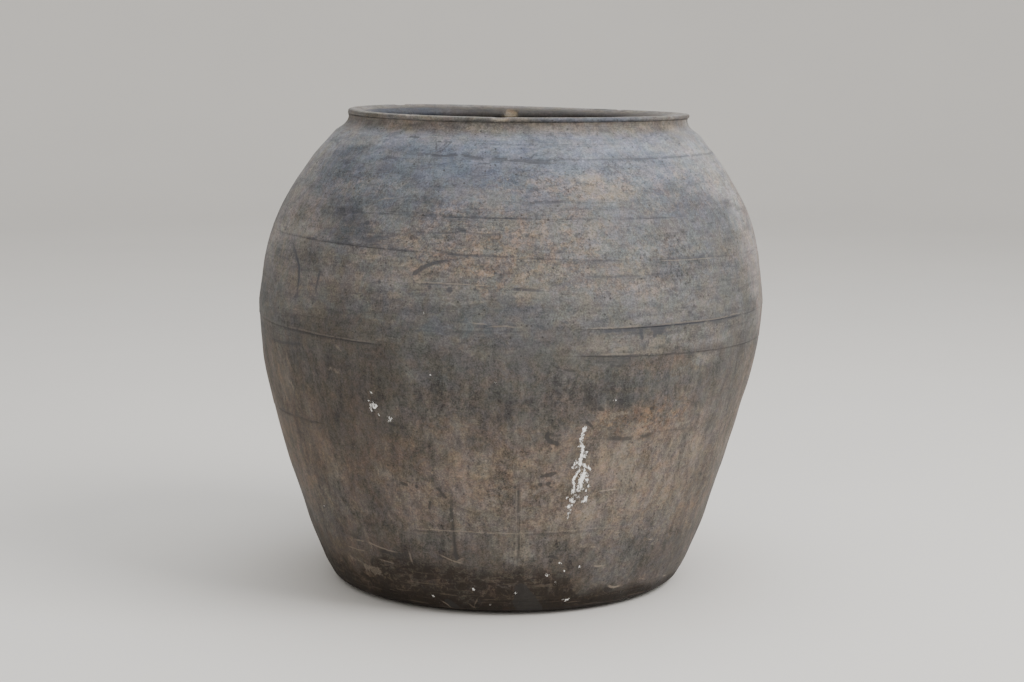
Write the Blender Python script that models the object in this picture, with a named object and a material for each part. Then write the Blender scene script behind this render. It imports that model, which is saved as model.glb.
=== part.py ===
# Large hand-built clay storage jar, modelled as the potter's own sections:
# a slab base, coil courses scarfed one onto the next, a neck collar and a lip.
# Metres, +Z up. The jar stands on z = 0 and its front faces -Y.

import math

import bpy
import bmesh
from mathutils import Vector

for old in list(bpy.data.objects):
    bpy.data.objects.remove(old, do_unlink=True)

# ---------------------------------------------------------------- dimensions
JAR_HEIGHT = 0.460          # mean height of the lip, an 18 inch water jar
GAP = 0.0003                # clearance between two sections
SEGMENTS = 48               # facets round the jar

# Outside radius of the wall at each height, foot to collar.
WALL_PROFILE = [
    (0.0000, 0.1675), (0.0160, 0.1765), (0.0370, 0.1860), (0.0600, 0.1950),
    (0.0860, 0.2030), (0.1380, 0.2195), (0.1840, 0.2320), (0.2300, 0.2425),
    (0.2550, 0.2457), (0.2760, 0.2470), (0.2990, 0.2452), (0.3220, 0.2414),
    (0.3450, 0.2355), (0.3680, 0.2267), (0.3870, 0.2165), (0.4050, 0.2048),
    (0.4190, 0.1947), (0.4300, 0.1853), (0.4400, 0.1765), (0.4600, 0.1570),
]
WALL_LOW = 0.014            # wall thickness near the foot
WALL_HIGH = 0.011           # wall thickness at the shoulder
HEEL_EXTRA = 0.010          # clay smeared into the inside corner of the base
HEEL_HEIGHT = 0.034
BASE_THICKNESS = 0.016
SCARF = 0.010               # how far each scarf joint climbs through the wall

# Outside height of each joint line at the front, and how much it drops
# from the centre to the right-hand side as the coil was laid.
JOINT_FOOT = (0.0860, 0.0000)
JOINT_LOWER = (0.1810, -0.0030)
JOINT_BELLY_UNDER = (0.2565, 0.0095)
JOINT_BELLY_OVER = (0.2780, 0.0010)
JOINT_SHOULDER_1 = (0.3135, 0.0090)
JOINT_SHOULDER_2 = (0.3405, 0.0090)
JOINT_SHOULDER_3 = (0.3735, 0.0030)
COLLAR_FOOT = 0.4400

LEAN = 0.0110               # the jar leans to the right by this much at the lip
SHIFT = -0.0040             # puts the middle of the leaning jar over the origin
RIM_DROP = 0.0021           # the lip is lower on the right
RIM_TWIST = 0.0009          # and waves a little round its ring
RIM_WAVE = 0.0003


# ---------------------------------------------------------------- helpers
def wall_radius(z):
    """Outside radius at height z: a smooth curve through WALL_PROFILE."""
    rows = WALL_PROFILE
    if z <= rows[0][0]:
        return rows[0][1]
    last = len(rows) - 1
    for i in range(last):
        if z <= rows[i + 1][0] or i == last - 1:
            break
    z0, r0 = rows[i]
    z1, r1 = rows[i + 1]

    def slope(k):
        a = max(k - 1, 0)
        b = min(k + 1, last)
        return (rows[b][1] - rows[a][1]) / (rows[b][0] - rows[a][0])

    h = z1 - z0
    t = (z - z0) / h
    return ((2 * t**3 - 3 * t**2 + 1) * r0 + (t**3 - 2 * t**2 + t) * h * slope(i)
            + (-2 * t**3 + 3 * t**2) * r1 + (t**3 - t**2) * h * slope(i + 1))


def wall_thickness(z):
    t = min(max(z / 0.40, 0.0), 1.0)
    heel = HEEL_EXTRA * max(0.0, 1.0 - z / HEEL_HEIGHT) ** 2
    return WALL_LOW + (WALL_HIGH - WALL_LOW) * t + heel


def outside(z):
    return (wall_radius(z), z)


def inside(z):
    """The point of the inner face square behind the outside point at z."""
    step = 0.002
    dr = wall_radius(z + step) - wall_radius(z - step)
    length = math.hypot(dr, 2 * step)
    t = wall_thickness(z)
    return (wall_radius(z) - t * 2 * step / length, z + t * dr / length)


def place(r, z, angle):
    """Section point (r, z) turned to an angle, with the lean and rim warp."""
    share = min(max((z / JAR_HEIGHT - 0.75) / 0.25, 0.0), 1.0) ** 2
    lift = share * (-RIM_DROP * math.cos(angle) + RIM_WAVE * math.cos(2 * angle)
                    - RIM_TWIST * math.sin(2 * angle))
    lean = SHIFT + LEAN * (z / JAR_HEIGHT) ** 2
    return Vector((r * math.cos(angle) + lean, r * math.sin(angle), z + lift))


def material(name, colour, roughness):
    mat = bpy.data.materials.new(name)
    mat.use_nodes = True
    shader = mat.node_tree.nodes["Principled BSDF"]
    shader.inputs["Base Color"].default_value = (*colour, 1.0)
    shader.inputs["Roughness"].default_value = roughness
    shader.inputs["Metallic"].default_value = 0.0
    mat.diffuse_color = (*colour, 1.0)
    return mat


def finish(name, bm, mat):
    bmesh.ops.recalc_face_normals(bm, faces=bm.faces)
    mesh = bpy.data.meshes.new(name)
    bm.to_mesh(mesh)
    bm.free()
    mesh.materials.append(mat)
    ob = bpy.data.objects.new(name, mesh)
    bpy.context.scene.collection.objects.link(ob)
    return ob


def ring_solid(name, section_at, mat):
    """Sweep a closed section once round the jar."""
    bm = bmesh.new()
    rings = []
    for k in range(SEGMENTS):
        angle = 2 * math.pi * k / SEGMENTS
        rings.append([bm.verts.new(place(r, z, angle)) for r, z in section_at(angle)])
    count = len(rings[0])
    for k in range(SEGMENTS):
        here, there = rings[k], rings[(k + 1) % SEGMENTS]
        for i in range(count):
            j = (i + 1) % count
            bm.faces.new((here[i], here[j], there[j], there[i]))
    return finish(name, bm, mat)


def joint_height(joint, angle):
    middle, drop = joint
    return middle - drop * math.cos(angle)


def course(name, low, high, steps, mat):
    """One coil course between two slanting scarf joints."""
    def section(angle):
        if low is None:
            z_low = BASE_THICKNESS + GAP
            climb_low = None
        else:
            z_low = joint_height(low, angle)
            across = wall_thickness(z_low)
            z_low += GAP * math.hypot(1.0, SCARF / across)
            climb_low = z_low + SCARF
        if high is None:
            z_high, climb_high = COLLAR_FOOT, COLLAR_FOOT
        else:
            z_high = joint_height(high, angle)
            climb_high = z_high + SCARF
        outer = [outside(z_low + (z_high - z_low) * i / steps) for i in range(steps + 1)]
        if climb_low is None:
            heel = (wall_radius(z_low) - wall_thickness(z_low), z_low)
            inner = [heel, inside(0.026), inside(0.040)]
            start = 0.062
        else:
            inner = []
            start = climb_low
        rest = steps if climb_low is not None else steps - 1
        inner += [inside(start + (climb_high - start) * i / rest) for i in range(rest + 1)]
        return outer + inner[::-1]
    return ring_solid(name, section, mat)


# ---------------------------------------------------------------- finishes
soot_clay = material("Soot dark clay", (0.040, 0.034, 0.030), 0.82)
brown_clay = material("Grey brown clay", (0.105, 0.090, 0.076), 0.80)
grey_clay = material("Smoke grey clay", (0.120, 0.112, 0.104), 0.78)
slate_clay = material("Slate grey clay", (0.088, 0.095, 0.104), 0.74)
collar_clay = material("Brown collar clay", (0.125, 0.100, 0.080), 0.80)
lip_clay = material("Worn lip clay", (0.105, 0.102, 0.100), 0.70)

# ---------------------------------------------------------------- base slab
bm = bmesh.new()
slab_section = [(0.1635, 0.0), (0.1680, 0.0022), (0.1715, 0.0065),
                (wall_radius(BASE_THICKNESS), BASE_THICKNESS)]
slab_rings = []
for k in range(SEGMENTS):
    turn = 2 * math.pi * k / SEGMENTS
    slab_rings.append([bm.verts.new(place(r, z, turn)) for r, z in slab_section])
for k in range(SEGMENTS):
    here, there = slab_rings[k], slab_rings[(k + 1) % SEGMENTS]
    for i in range(len(slab_section) - 1):
        bm.faces.new((here[i], there[i], there[i + 1], here[i + 1]))
bm.faces.new([ring[0] for ring in reversed(slab_rings)])
bm.faces.new([ring[-1] for ring in slab_rings])
finish("base_slab", bm, soot_clay)

# ---------------------------------------------------------------- wall courses
course("foot_course", None, JOINT_FOOT, 4, soot_clay)
course("lower_course", JOINT_FOOT, JOINT_LOWER, 4, brown_clay)
course("middle_course", JOINT_LOWER, JOINT_BELLY_UNDER, 3, brown_clay)
course("belly_band", JOINT_BELLY_UNDER, JOINT_BELLY_OVER, 2, grey_clay)
course("upper_belly_course", JOINT_BELLY_OVER, JOINT_SHOULDER_1, 2, grey_clay)
course("lower_shoulder_course", JOINT_SHOULDER_1, JOINT_SHOULDER_2, 2, grey_clay)
course("middle_shoulder_course", JOINT_SHOULDER_2, JOINT_SHOULDER_3, 2, grey_clay)
course("upper_shoulder_course", JOINT_SHOULDER_3, None, 5, slate_clay)

# ---------------------------------------------------------------- neck collar
foot_out = outside(COLLAR_FOOT)
foot_in = inside(COLLAR_FOOT)
run = math.hypot(foot_out[0] - foot_in[0], foot_out[1] - foot_in[1])
lift_r = -(foot_out[1] - foot_in[1]) / run * GAP
lift_z = (foot_out[0] - foot_in[0]) / run * GAP
collar_section = [
    (foot_out[0] + lift_r, foot_out[1] + lift_z),
    (0.1712, 0.4438), (0.1668, 0.4482), (0.1649, 0.4525), (0.1645, 0.4560),
    (0.1535, 0.4462), (0.1538, 0.4415), (0.1590, 0.4372),
    (foot_in[0] + lift_r, foot_in[1] + lift_z),
]
ring_solid("neck_collar", lambda angle: collar_section, collar_clay)

# ---------------------------------------------------------------- rim lip
lip_section = [
    (0.1643, 0.4563), (0.1660, 0.4566), (0.1665, 0.4580), (0.1655, 0.4598),
    (0.1630, 0.4600), (0.1560, 0.4583), (0.1475, 0.4558), (0.1445, 0.4530),
    (0.1450, 0.4485), (0.1485, 0.4450), (0.1528, 0.4447), (0.1533, 0.4465),
]
ring_solid("rim_lip", lambda angle: lip_section, lip_clay)
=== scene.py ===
# %% [markdown]
# # A large hand-built clay storage jar
# The jar is one of those big smoke-darkened water jars that a potter builds from coils of clay on a flat
# slab, beats and scrapes into a round body, and finishes with a short collar and a wide lip. Its sections
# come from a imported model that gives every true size. This lesson builds each section again as a fine
# mesh with the marks of the hand in it, and then gives it the look of old, unglazed, smoked clay.

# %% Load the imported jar
import bpy
import math
import numpy as np
from mathutils import Matrix, Vector


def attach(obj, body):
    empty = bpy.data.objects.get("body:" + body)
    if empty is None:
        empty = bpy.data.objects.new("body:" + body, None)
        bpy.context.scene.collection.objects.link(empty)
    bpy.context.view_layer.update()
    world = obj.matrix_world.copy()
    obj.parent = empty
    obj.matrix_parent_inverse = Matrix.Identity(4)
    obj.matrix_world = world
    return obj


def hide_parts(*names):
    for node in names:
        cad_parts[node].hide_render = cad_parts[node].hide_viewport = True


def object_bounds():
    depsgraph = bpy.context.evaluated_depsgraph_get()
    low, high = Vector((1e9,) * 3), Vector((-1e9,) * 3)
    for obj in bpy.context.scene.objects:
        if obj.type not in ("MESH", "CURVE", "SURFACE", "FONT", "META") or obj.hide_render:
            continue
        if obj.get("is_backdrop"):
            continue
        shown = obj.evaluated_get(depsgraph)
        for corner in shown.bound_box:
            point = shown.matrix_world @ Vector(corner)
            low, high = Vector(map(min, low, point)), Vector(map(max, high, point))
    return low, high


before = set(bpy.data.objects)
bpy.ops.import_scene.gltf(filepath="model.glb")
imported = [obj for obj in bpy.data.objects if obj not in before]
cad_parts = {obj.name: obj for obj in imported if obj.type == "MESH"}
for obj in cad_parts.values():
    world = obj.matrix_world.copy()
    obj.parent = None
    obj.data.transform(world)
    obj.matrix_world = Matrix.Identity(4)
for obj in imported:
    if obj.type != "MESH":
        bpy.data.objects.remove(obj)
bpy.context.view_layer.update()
print("packed sections:", sorted(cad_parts))

# %% [markdown]
# So a small helper clears the selection before each new piece. Another one makes a finished mesh
# smooth, but keeps its true corners.

# %% Two small helpers
def clear_selection():
    if bpy.context.object and bpy.context.object.mode != "OBJECT":
        bpy.ops.object.mode_set(mode="OBJECT")
    bpy.ops.object.select_all(action="DESELECT")


def smooth_but_keep_corners(piece, corner=50):
    clear_selection()
    piece.select_set(True)
    bpy.context.view_layer.objects.active = piece
    bpy.ops.object.shade_smooth_by_angle(angle=math.radians(corner))


clear_selection()
print("selected now:", len(bpy.context.selected_objects))

# %% [markdown]
# The wall of a coiled jar swells evenly from the foot to the belly and then closes faster towards the
# collar. The curve below gives the outside radius at each height, in millimetres, as the potter would
# take it with calipers. A smooth curve through the stations is better than straight lines between
# them, because the eye sees every kink along the side of a round jar.

# %% The outside curve of the wall
MM = 0.001
JAR_HEIGHT = 460.0
STATIONS = [
    (0, 167.5), (16, 176.5), (37, 186.0), (60, 195.0), (86, 203.0), (138, 219.5),
    (184, 232.0), (230, 242.5), (255, 245.7), (276, 247.0), (299, 245.2), (322, 241.4),
    (345, 235.5), (368, 226.7), (387, 216.5), (405, 204.8), (419, 194.7), (430, 185.3),
    (440, 176.5), (460, 157.0),
]
station_height = np.array([h for h, r in STATIONS], float)
station_radius = np.array([r for h, r in STATIONS], float)
station_slope = np.gradient(station_radius, station_height)


def wall_radius(height):
    """Outside radius in mm at a height in mm: a smooth curve through the stations."""
    h = np.clip(height, station_height[0], station_height[-1])
    k = np.clip(np.searchsorted(station_height, h) - 1, 0, len(station_height) - 2)
    span = station_height[k + 1] - station_height[k]
    t = (h - station_height[k]) / span
    return ((2 * t**3 - 3 * t**2 + 1) * station_radius[k]
            + (t**3 - 2 * t**2 + t) * span * station_slope[k]
            + (-2 * t**3 + 3 * t**2) * station_radius[k + 1]
            + (t**3 - t**2) * span * station_slope[k + 1])


def wall_facing(height):
    """How much the wall faces outwards and upwards at a height."""
    lean_out = (wall_radius(height + 1.5) - wall_radius(height - 1.5)) / 3.0
    length = np.sqrt(1 + lean_out**2)
    return 1 / length, -lean_out / length


def wall_thickness(height):
    heel = 10.0 * np.clip(1 - height / 34.0, 0, 1) ** 2
    return 14.0 - 3.0 * np.clip(height / 400.0, 0, 1) + heel


print("belly across:", round(2 * float(wall_radius(276.0))), "mm")

# %% [markdown]
# No hand-built jar stands quite straight. This one leans a little to the right as it rises, and its
# lip is lower on that side. One function puts any point of the straight jar where it really is, so
# that every piece leans in the same way.

# %% The lean of the jar
SHIFT, LEAN = -4.0, 11.0
LIP_DROP, LIP_WAVE, LIP_TWIST = 2.1, 0.3, 0.9


def stand(radius, height, turn):
    """Radius and height in mm and a turn in radians, as x, y and z in metres."""
    share = np.clip((height / JAR_HEIGHT - 0.75) / 0.25, 0, 1) ** 2
    lift = share * (-LIP_DROP * np.cos(turn) + LIP_WAVE * np.cos(2 * turn)
                    - LIP_TWIST * np.sin(2 * turn))
    lean = SHIFT + LEAN * (height / JAR_HEIGHT) ** 2
    return np.stack([radius * np.cos(turn) + lean, radius * np.sin(turn),
                     height + lift], axis=-1) * MM


top = stand(166.0, 460.0, np.array([0.0, math.pi]))
print("lip height, right and left:", [round(float(z) * 1000, 1) for z in top[:, 2]], "mm")

# %% [markdown]
# The potter's paddle, ribs and fingers leave a surface that is never quite round: broad soft dents from
# beating, long level ridges where the shoulder was wiped round, and upright ones where the lower wall
# was scraped. Each is a soft noise of its own width and height, in real millimetres. A lattice of random
# numbers that closes on itself round the jar gives it without a join at the back.

# %% Marks of the hand
def soft_noise(turn, height, wide, tall, seed):
    """Smooth noise from -1 to 1 with bumps of a given width and height in mm."""
    cells = max(3, round(2 * math.pi * 220 / wide))
    rows = int(520 / tall) + 4
    lattice = np.random.default_rng(seed).uniform(-1, 1, (cells, rows))
    a = (turn / (2 * math.pi) % 1.0) * cells
    h = np.clip(height + 20, 0, 500) / tall
    i, j = np.floor(a).astype(int), np.floor(h).astype(int)
    u, v = a - i, h - j
    u, v = u * u * (3 - 2 * u), v * v * (3 - 2 * v)
    i0, i1, j1 = i % cells, (i + 1) % cells, j + 1
    low = lattice[i0, j] * (1 - u) + lattice[i1, j] * u
    high = lattice[i0, j1] * (1 - u) + lattice[i1, j1] * u
    return low * (1 - v) + high * v


def fade(value, start, end):
    """0 before start and 1 after end, with a soft change between them."""
    t = np.clip((value - start) / (end - start), 0, 1)
    return t * t * (3 - 2 * t)


def hand_marks(turn, height):
    """How far the outside stands proud of the even wall, in mm."""
    shoulder = fade(height, 215, 260)
    beaten = (0.85 * soft_noise(turn, height, 58, 46, 3)
              + 0.40 * soft_noise(turn, height, 24, 20, 4)
              + 0.80 * soft_noise(turn, height, 260, 150, 5))
    wiped = (0.13 * soft_noise(turn, height, 130, 5, 6)
             + 0.10 * soft_noise(turn, height, 60, 9, 7))
    scraped = (0.13 * soft_noise(turn, height, 6, 110, 8)
               + 0.12 * soft_noise(turn, height, 15, 70, 9))
    calm = 1 - 0.6 * fade(height, 425, 445)
    return (beaten * calm + shoulder * wiped + (1 - shoulder) * scraped) * fade(height, 2, 30)


sample = hand_marks(np.linspace(0, 6.28, 2000), np.full(2000, 250.0))
print("dents reach from", round(float(sample.min()), 2), "to", round(float(sample.max()), 2), "mm")

# %% [markdown]
# The joints between the coils are not level. Each slants a little, as the potter laid it, and each is
# smoothed away over part of its way and left as a small ledge over the rest. So a joint has a height at
# the front, a drop to the right-hand side, and a list of how far the upper section stands proud of the
# lower one at some turns round the jar. Turns are given in degrees from the front, to the right.

# %% The joints between the sections
JOINTS = {
    "slab": (16.0, 0.0, [(0, 0.0)]),
    "foot": (86.0, 0.0, [(-90, 0.0), (-25, 0.12), (0, 0.1), (25, 0.05), (90, 0.0), (180, 0.12)]),
    "lower": (181.0, -3.0, [(-90, 0.35), (-50, 0.25), (-30, 0.05), (90, 0.0), (150, 0.25)]),
    "belly_under": (256.5, 9.5, [(-90, 0.3), (-60, 0.5), (-30, 0.45), (-12, 0.05), (12, 0.15),
                                 (20, 0.5), (50, 0.55), (75, 0.3), (130, 0.5), (180, 0.2)]),
    "belly_over": (278.0, 1.0, [(-90, 0.0), (0, 0.0), (18, 0.4), (30, 0.75), (55, 0.65),
                                (85, 0.3), (120, 0.1), (180, 0.4)]),
    "shoulder_1": (313.5, 9.0, [(-90, 0.0), (-20, 0.05), (0, 0.15), (8, 0.03), (90, 0.05),
                                (180, 0.15)]),
    "shoulder_2": (340.5, 9.0, [(-90, 0.05), (-40, 0.22), (-20, 0.15), (0, 0.05), (30, 0.12),
                                (50, 0.2), (90, 0.05), (180, 0.2)]),
    "shoulder_3": (373.5, 3.0, [(-90, 0.03), (-25, 0.1), (0, 0.15), (20, 0.03), (33, 0.15),
                                (60, 0.05), (180, 0.1)]),
    "collar": (440.0, 0.0, [(-90, 0.06), (0, 0.12), (60, 0.1), (180, 0.1)]),
}


def from_front(turn):
    """Degrees from the front of the jar, positive to the right, of a turn in radians."""
    return (np.degrees(turn) + 90 + 180) % 360 - 180


def joint_height(joint, turn):
    middle, drop = JOINTS[joint][:2]
    return middle - drop * np.cos(turn)


def joint_ledge(joint, turn):
    stops = JOINTS[joint][2]
    return np.interp(from_front(turn), [a for a, p in stops], [p for a, p in stops], period=360)


for name in JOINTS:
    side = joint_height(name, np.array([math.pi, 0.0]))
    print(f"joint {name}: {side[0]:.0f} mm up on the left, {side[1]:.0f} mm on the right")

# %% [markdown]
# A wall section could be a ring cut from a lathe shape, but then its joints would be level. Instead the
# work follows the potter: roll a plain strap of clay, then press it into the wall. A circle primitive
# becomes the strap's cross-section, and a Screw modifier with no rise turns it once round the jar, much
# faster than the edit-mode Spin does at this fineness.

# %% Roll a strap of clay
ROUND = 960              # points round the jar
ROW = 1.45               # height of one row of faces on the outside, in mm
SCARF = 10.0             # how far a joint climbs through the wall


def turn_round(ring, points):
    """Turns a cross-section once round the Z axis into a closed ring."""
    turning = ring.modifiers.new("Turning", "SCREW")
    turning.axis = "Z"
    turning.angle = 2 * math.pi
    turning.steps = turning.render_steps = points
    turning.use_merge_vertices = True
    turning.merge_threshold = 0.00001
    clear_selection()
    ring.select_set(True)
    bpy.context.view_layer.objects.active = ring
    bpy.ops.object.modifier_apply(modifier=turning.name)
    bpy.ops.object.mode_set(mode="EDIT")
    bpy.ops.mesh.select_all(action="SELECT")
    bpy.ops.mesh.normals_make_consistent(inside=False)
    bpy.ops.object.mode_set(mode="OBJECT")


def roll_strap(name, outer_rows, inner_rows, round_points=ROUND):
    """A closed strap: outside at radius 1, inside at 0.9, from height 0 to 1."""
    clear_selection()
    bpy.ops.mesh.primitive_circle_add(vertices=outer_rows + inner_rows + 2, radius=1)
    strap = bpy.context.object
    strap.name = name
    outside = [(1.0, k / outer_rows) for k in range(outer_rows + 1)]
    inside = [(0.9, 1 - k / inner_rows) for k in range(inner_rows + 1)]
    for point, (x, z) in zip(strap.data.vertices, outside + inside):
        point.co = (x, 0.0, z)
    turn_round(strap, round_points)
    return strap


def read_points(piece):
    co = np.empty(len(piece.data.vertices) * 3)
    piece.data.vertices.foreach_get("co", co)
    return co.reshape(-1, 3)


def write_points(piece, points):
    piece.data.vertices.foreach_set("co", points.astype(np.float32).ravel())
    piece.data.update()


print("the helpers for rolling a strap are ready")

# %% [markdown]
# Every point of the strap knows how far up it is, how deep in the wall and how far round. One function
# presses it into place between its two slanting joints, with the marks of the hand on the outside. A
# ledge fades away upwards over about a centimetre, and more quickly below the joint.

# %% Press the strap into the wall
LEDGE_ABOVE, LEDGE_BELOW = 11.0, 4.0     # how far a ledge fades from its joint, in mm
UNDERCUT = 0.35                          # how deep it sinks below the joint, as a share
surface = {}             # for each piece: turn, height and outside share of every point


def press_into_wall(strap, low, high):
    x, y, up = read_points(strap).T
    turn = np.arctan2(y, x)
    depth = np.clip((1 - np.hypot(x, y)) / 0.1, 0, 1)
    low_line = joint_height(low, turn)
    high_line = joint_height(high, turn)
    outside = low_line + (high_line - low_line) * up
    low_scarf = 0.0 if low == "slab" else SCARF
    high_scarf = 0.0 if high == "collar" else SCARF
    behind = low_line + low_scarf + (high_line + high_scarf - low_line - low_scarf) * up
    level = np.where(depth > 0.5, behind, outside)
    out, rise = wall_facing(level)
    deep = depth * wall_thickness(level)
    flat_heel = (low == "slab") & (up < 0.001)
    rise = np.where(flat_heel, 0.0, rise)
    proud = hand_marks(turn, level)
    proud = proud + joint_ledge(low, turn) * np.exp(-(level - low_line) / LEDGE_ABOVE)
    sink = UNDERCUT * joint_ledge(high, turn) * np.exp(-(high_line - level) / LEDGE_BELOW)
    proud = proud - sink
    proud = np.where(depth > 0.5, 0.7 * soft_noise(turn, level, 70, 30, 11), proud)
    proud = np.where(flat_heel & (depth > 0.5), 0.0, proud)
    radius = wall_radius(level) + (proud - deep) * out
    height = level + (proud - deep) * rise
    write_points(strap, stand(radius, height, turn))
    surface[strap.name] = (turn, level, 1 - depth)


def wall_section(name, low, high):
    start, end = joint_height(low, 0.0), joint_height(high, 0.0)
    slant = math.hypot(end - start, wall_radius(end) - wall_radius(start))
    rows = max(6, round(slant / ROW))
    strap = roll_strap(name, rows, max(3, rows // 6))
    press_into_wall(strap, low, high)
    smooth_but_keep_corners(strap)
    print(name, "rows:", rows, "faces:", len(strap.data.polygons))
    return strap


print("the helpers for pressing a strap are ready")

# %% [markdown]
# Now the eight wall sections go up in the potter's own order, each from one joint to the next.

# %% Build the wall, course by course
COURSES = [
    ("foot_course", "slab", "foot"),
    ("lower_course", "foot", "lower"),
    ("middle_course", "lower", "belly_under"),
    ("belly_band", "belly_under", "belly_over"),
    ("upper_belly_course", "belly_over", "shoulder_1"),
    ("lower_shoulder_course", "shoulder_1", "shoulder_2"),
    ("middle_shoulder_course", "shoulder_2", "shoulder_3"),
    ("upper_shoulder_course", "shoulder_3", "collar"),
]
pieces = {}
for node, low, high in COURSES:
    pieces[node] = wall_section(node + "_clay", low, high)

# %% [markdown]
# The base is a slab that was patted flat. It starts as a thick disc: a filled circle, extruded to
# the thickness of the slab, with the top and the bottom inset a few times so that their faces are small
# enough to carry soft marks. The bottom edge is worn round from years of standing and turning.

# %% Pat out the base slab
SLAB_LAYERS = 12
CAP_INSETS = (0.02, 0.05, 0.13, 0.2, 0.3)     # shares of the slab's radius


def pat_slab():
    clear_selection()
    bpy.ops.mesh.primitive_circle_add(vertices=ROUND, radius=1, fill_type="NGON")
    slab = bpy.context.object
    slab.name = "base_slab_clay"
    bpy.ops.object.mode_set(mode="EDIT")
    bpy.ops.mesh.select_all(action="SELECT")
    for k in range(SLAB_LAYERS):
        bpy.ops.mesh.extrude_region_move(TRANSFORM_OT_translate={"value": (0, 0, 1 / SLAB_LAYERS)})
    bpy.ops.object.mode_set(mode="OBJECT")
    mesh = slab.data
    for cap in (1.0, 0.0):
        bpy.ops.object.mode_set(mode="EDIT")
        bpy.ops.mesh.select_all(action="DESELECT")
        bpy.ops.object.mode_set(mode="OBJECT")
        for face in mesh.polygons:
            face.select = len(face.vertices) > 4 and abs(face.center.z - cap) < 0.01
        bpy.ops.object.mode_set(mode="EDIT")
        for step in CAP_INSETS:
            bpy.ops.mesh.inset(thickness=step)
        bpy.ops.mesh.poke()
        bpy.ops.object.mode_set(mode="OBJECT")
    bpy.ops.object.mode_set(mode="EDIT")
    bpy.ops.mesh.select_all(action="SELECT")
    bpy.ops.mesh.normals_make_consistent(inside=False)
    bpy.ops.object.mode_set(mode="OBJECT")
    return slab


slab = pat_slab()
print("slab as patted out, points:", len(slab.data.vertices))

# %% [markdown]
# The worn bottom edge is a round that is 13 mm deep at the ground and gone 9 mm up. The top of the slab,
# inside the jar, keeps faint rings from the potter's fingers.

# %% Shape the base slab
WORN_DEPTH, WORN_HEIGHT = 13.0, 9.0
x, y, up = read_points(slab).T
share = np.hypot(x, y)
turn = np.arctan2(y, x)
height = up * JOINTS["slab"][0]
worn_round = WORN_DEPTH * np.clip(1 - height / WORN_HEIGHT, 0, 1) ** 2.4
edge = wall_radius(height) - worn_round + hand_marks(turn, height) * (height < 15.9)
finger_rings = 0.5 * np.sin(share * 24) * (up > 0.999) * (share < 0.9)
write_points(slab, stand(edge * share, height + finger_rings, turn))
surface[slab.name] = (turn, height, (share > 0.98).astype(float))
smooth_but_keep_corners(slab)
pieces["base_slab"] = slab
print("base slab faces:", len(slab.data.polygons))

# %% [markdown]
# The collar is a short strap, hollow on the outside, that carries the lip. Its section is a closed
# curve through a few points in radius and height. A closed smooth curve through them keeps it soft, as
# wet fingers leave it, and the same turning takes it round the mouth.

# %% A helper for the collar and the lip
def closed_curve(stations, count, corner=()):
    """Points evenly along a closed smooth curve; a station listed in corner stays sharp."""
    n = len(stations)
    pts = np.array(stations, float)
    fine = []
    for k in range(n):
        before, here = pts[(k - 1) % n], pts[k]
        there, after = pts[(k + 1) % n], pts[(k + 2) % n]
        leave = (there - here) if k in corner else (there - before) / 2
        arrive = (there - here) if (k + 1) % n in corner else (after - here) / 2
        for t in np.linspace(0, 1, 24, endpoint=False):
            fine.append((2 * t**3 - 3 * t**2 + 1) * here + (t**3 - 2 * t**2 + t) * leave
                        + (-2 * t**3 + 3 * t**2) * there + (t**3 - t**2) * arrive)
    fine = np.array(fine)
    step = np.linalg.norm(np.roll(fine, -1, axis=0) - fine, axis=1)
    along = np.concatenate([[0], np.cumsum(step)])
    where = np.linspace(0, along[-1], count, endpoint=False)
    closed = np.vstack([fine, fine[:1]])
    return np.stack([np.interp(where, along, closed[:, k]) for k in (0, 1)], axis=1)


def turn_section(name, section):
    """Turns a closed section, in mm, once round the straight jar."""
    clear_selection()
    bpy.ops.mesh.primitive_circle_add(vertices=len(section), radius=1)
    ring = bpy.context.object
    ring.name = name
    for point, (radius, height) in zip(ring.data.vertices, section):
        point.co = (radius * MM, 0.0, height * MM)
    turn_round(ring, ROUND)
    return ring


print("the helpers for the collar and the lip are ready")

# %% Turn the neck collar
COLLAR_FOOT = 440.0      # where the collar stands on the shoulder, in mm
COLLAR_GAP = 0.1         # how far its inner foot stands clear of the shoulder, in mm
foot_out, foot_rise = wall_facing(COLLAR_FOOT)
foot_thick = wall_thickness(COLLAR_FOOT)
foot_inside = (176.5 - foot_thick * foot_out, COLLAR_FOOT - foot_thick * foot_rise + COLLAR_GAP)
COLLAR_SECTION = [
    (176.5, 440.05), (173.4, 441.9), (170.2, 444.2), (167.4, 447.0), (165.4, 450.2),
    (164.6, 453.0), (165.3, 455.6), (153.5, 446.2), (153.8, 441.5), (159.0, 437.0),
    foot_inside,
]
section = closed_curve(COLLAR_SECTION, 44, corner=(0, 6, 7, 10))
collar = turn_section("neck_collar_clay", section)
x, y, z = read_points(collar).T / MM
turn, radius = np.arctan2(y, x), np.hypot(x, y)
outer_face = fade(radius, 160, 163) * fade(z, COLLAR_FOOT, COLLAR_FOOT + 2)
proud = (0.35 * soft_noise(turn, z, 40, 12, 21) + 0.18 * soft_noise(turn, z, 90, 3, 22)
         + 0.12 * soft_noise(turn, z, 9, 4, 23)) * outer_face
foot_marks = hand_marks(turn, np.full(len(z), COLLAR_FOOT))
follow = foot_marks * (1 - fade(z, COLLAR_FOOT, COLLAR_FOOT + 10)) * (radius > 166)
radius = radius + proud + follow * foot_out
write_points(collar, stand(radius, z + follow * foot_rise, turn))
surface[collar.name] = (turn, z, fade(radius, 160, 163))
smooth_but_keep_corners(collar)
pieces["neck_collar"] = collar
print("collar faces:", len(collar.data.polygons))

# %% [markdown]
# The lip is the last coil. Its top is about two fingers wide and dips towards the mouth, its outer edge
# is a few millimetres thick, and it is not even: it waves, it is nicked, and on the far side a piece
# has come off its inner edge. It is tucked in a little on the left, where the collar leans under it.

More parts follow.
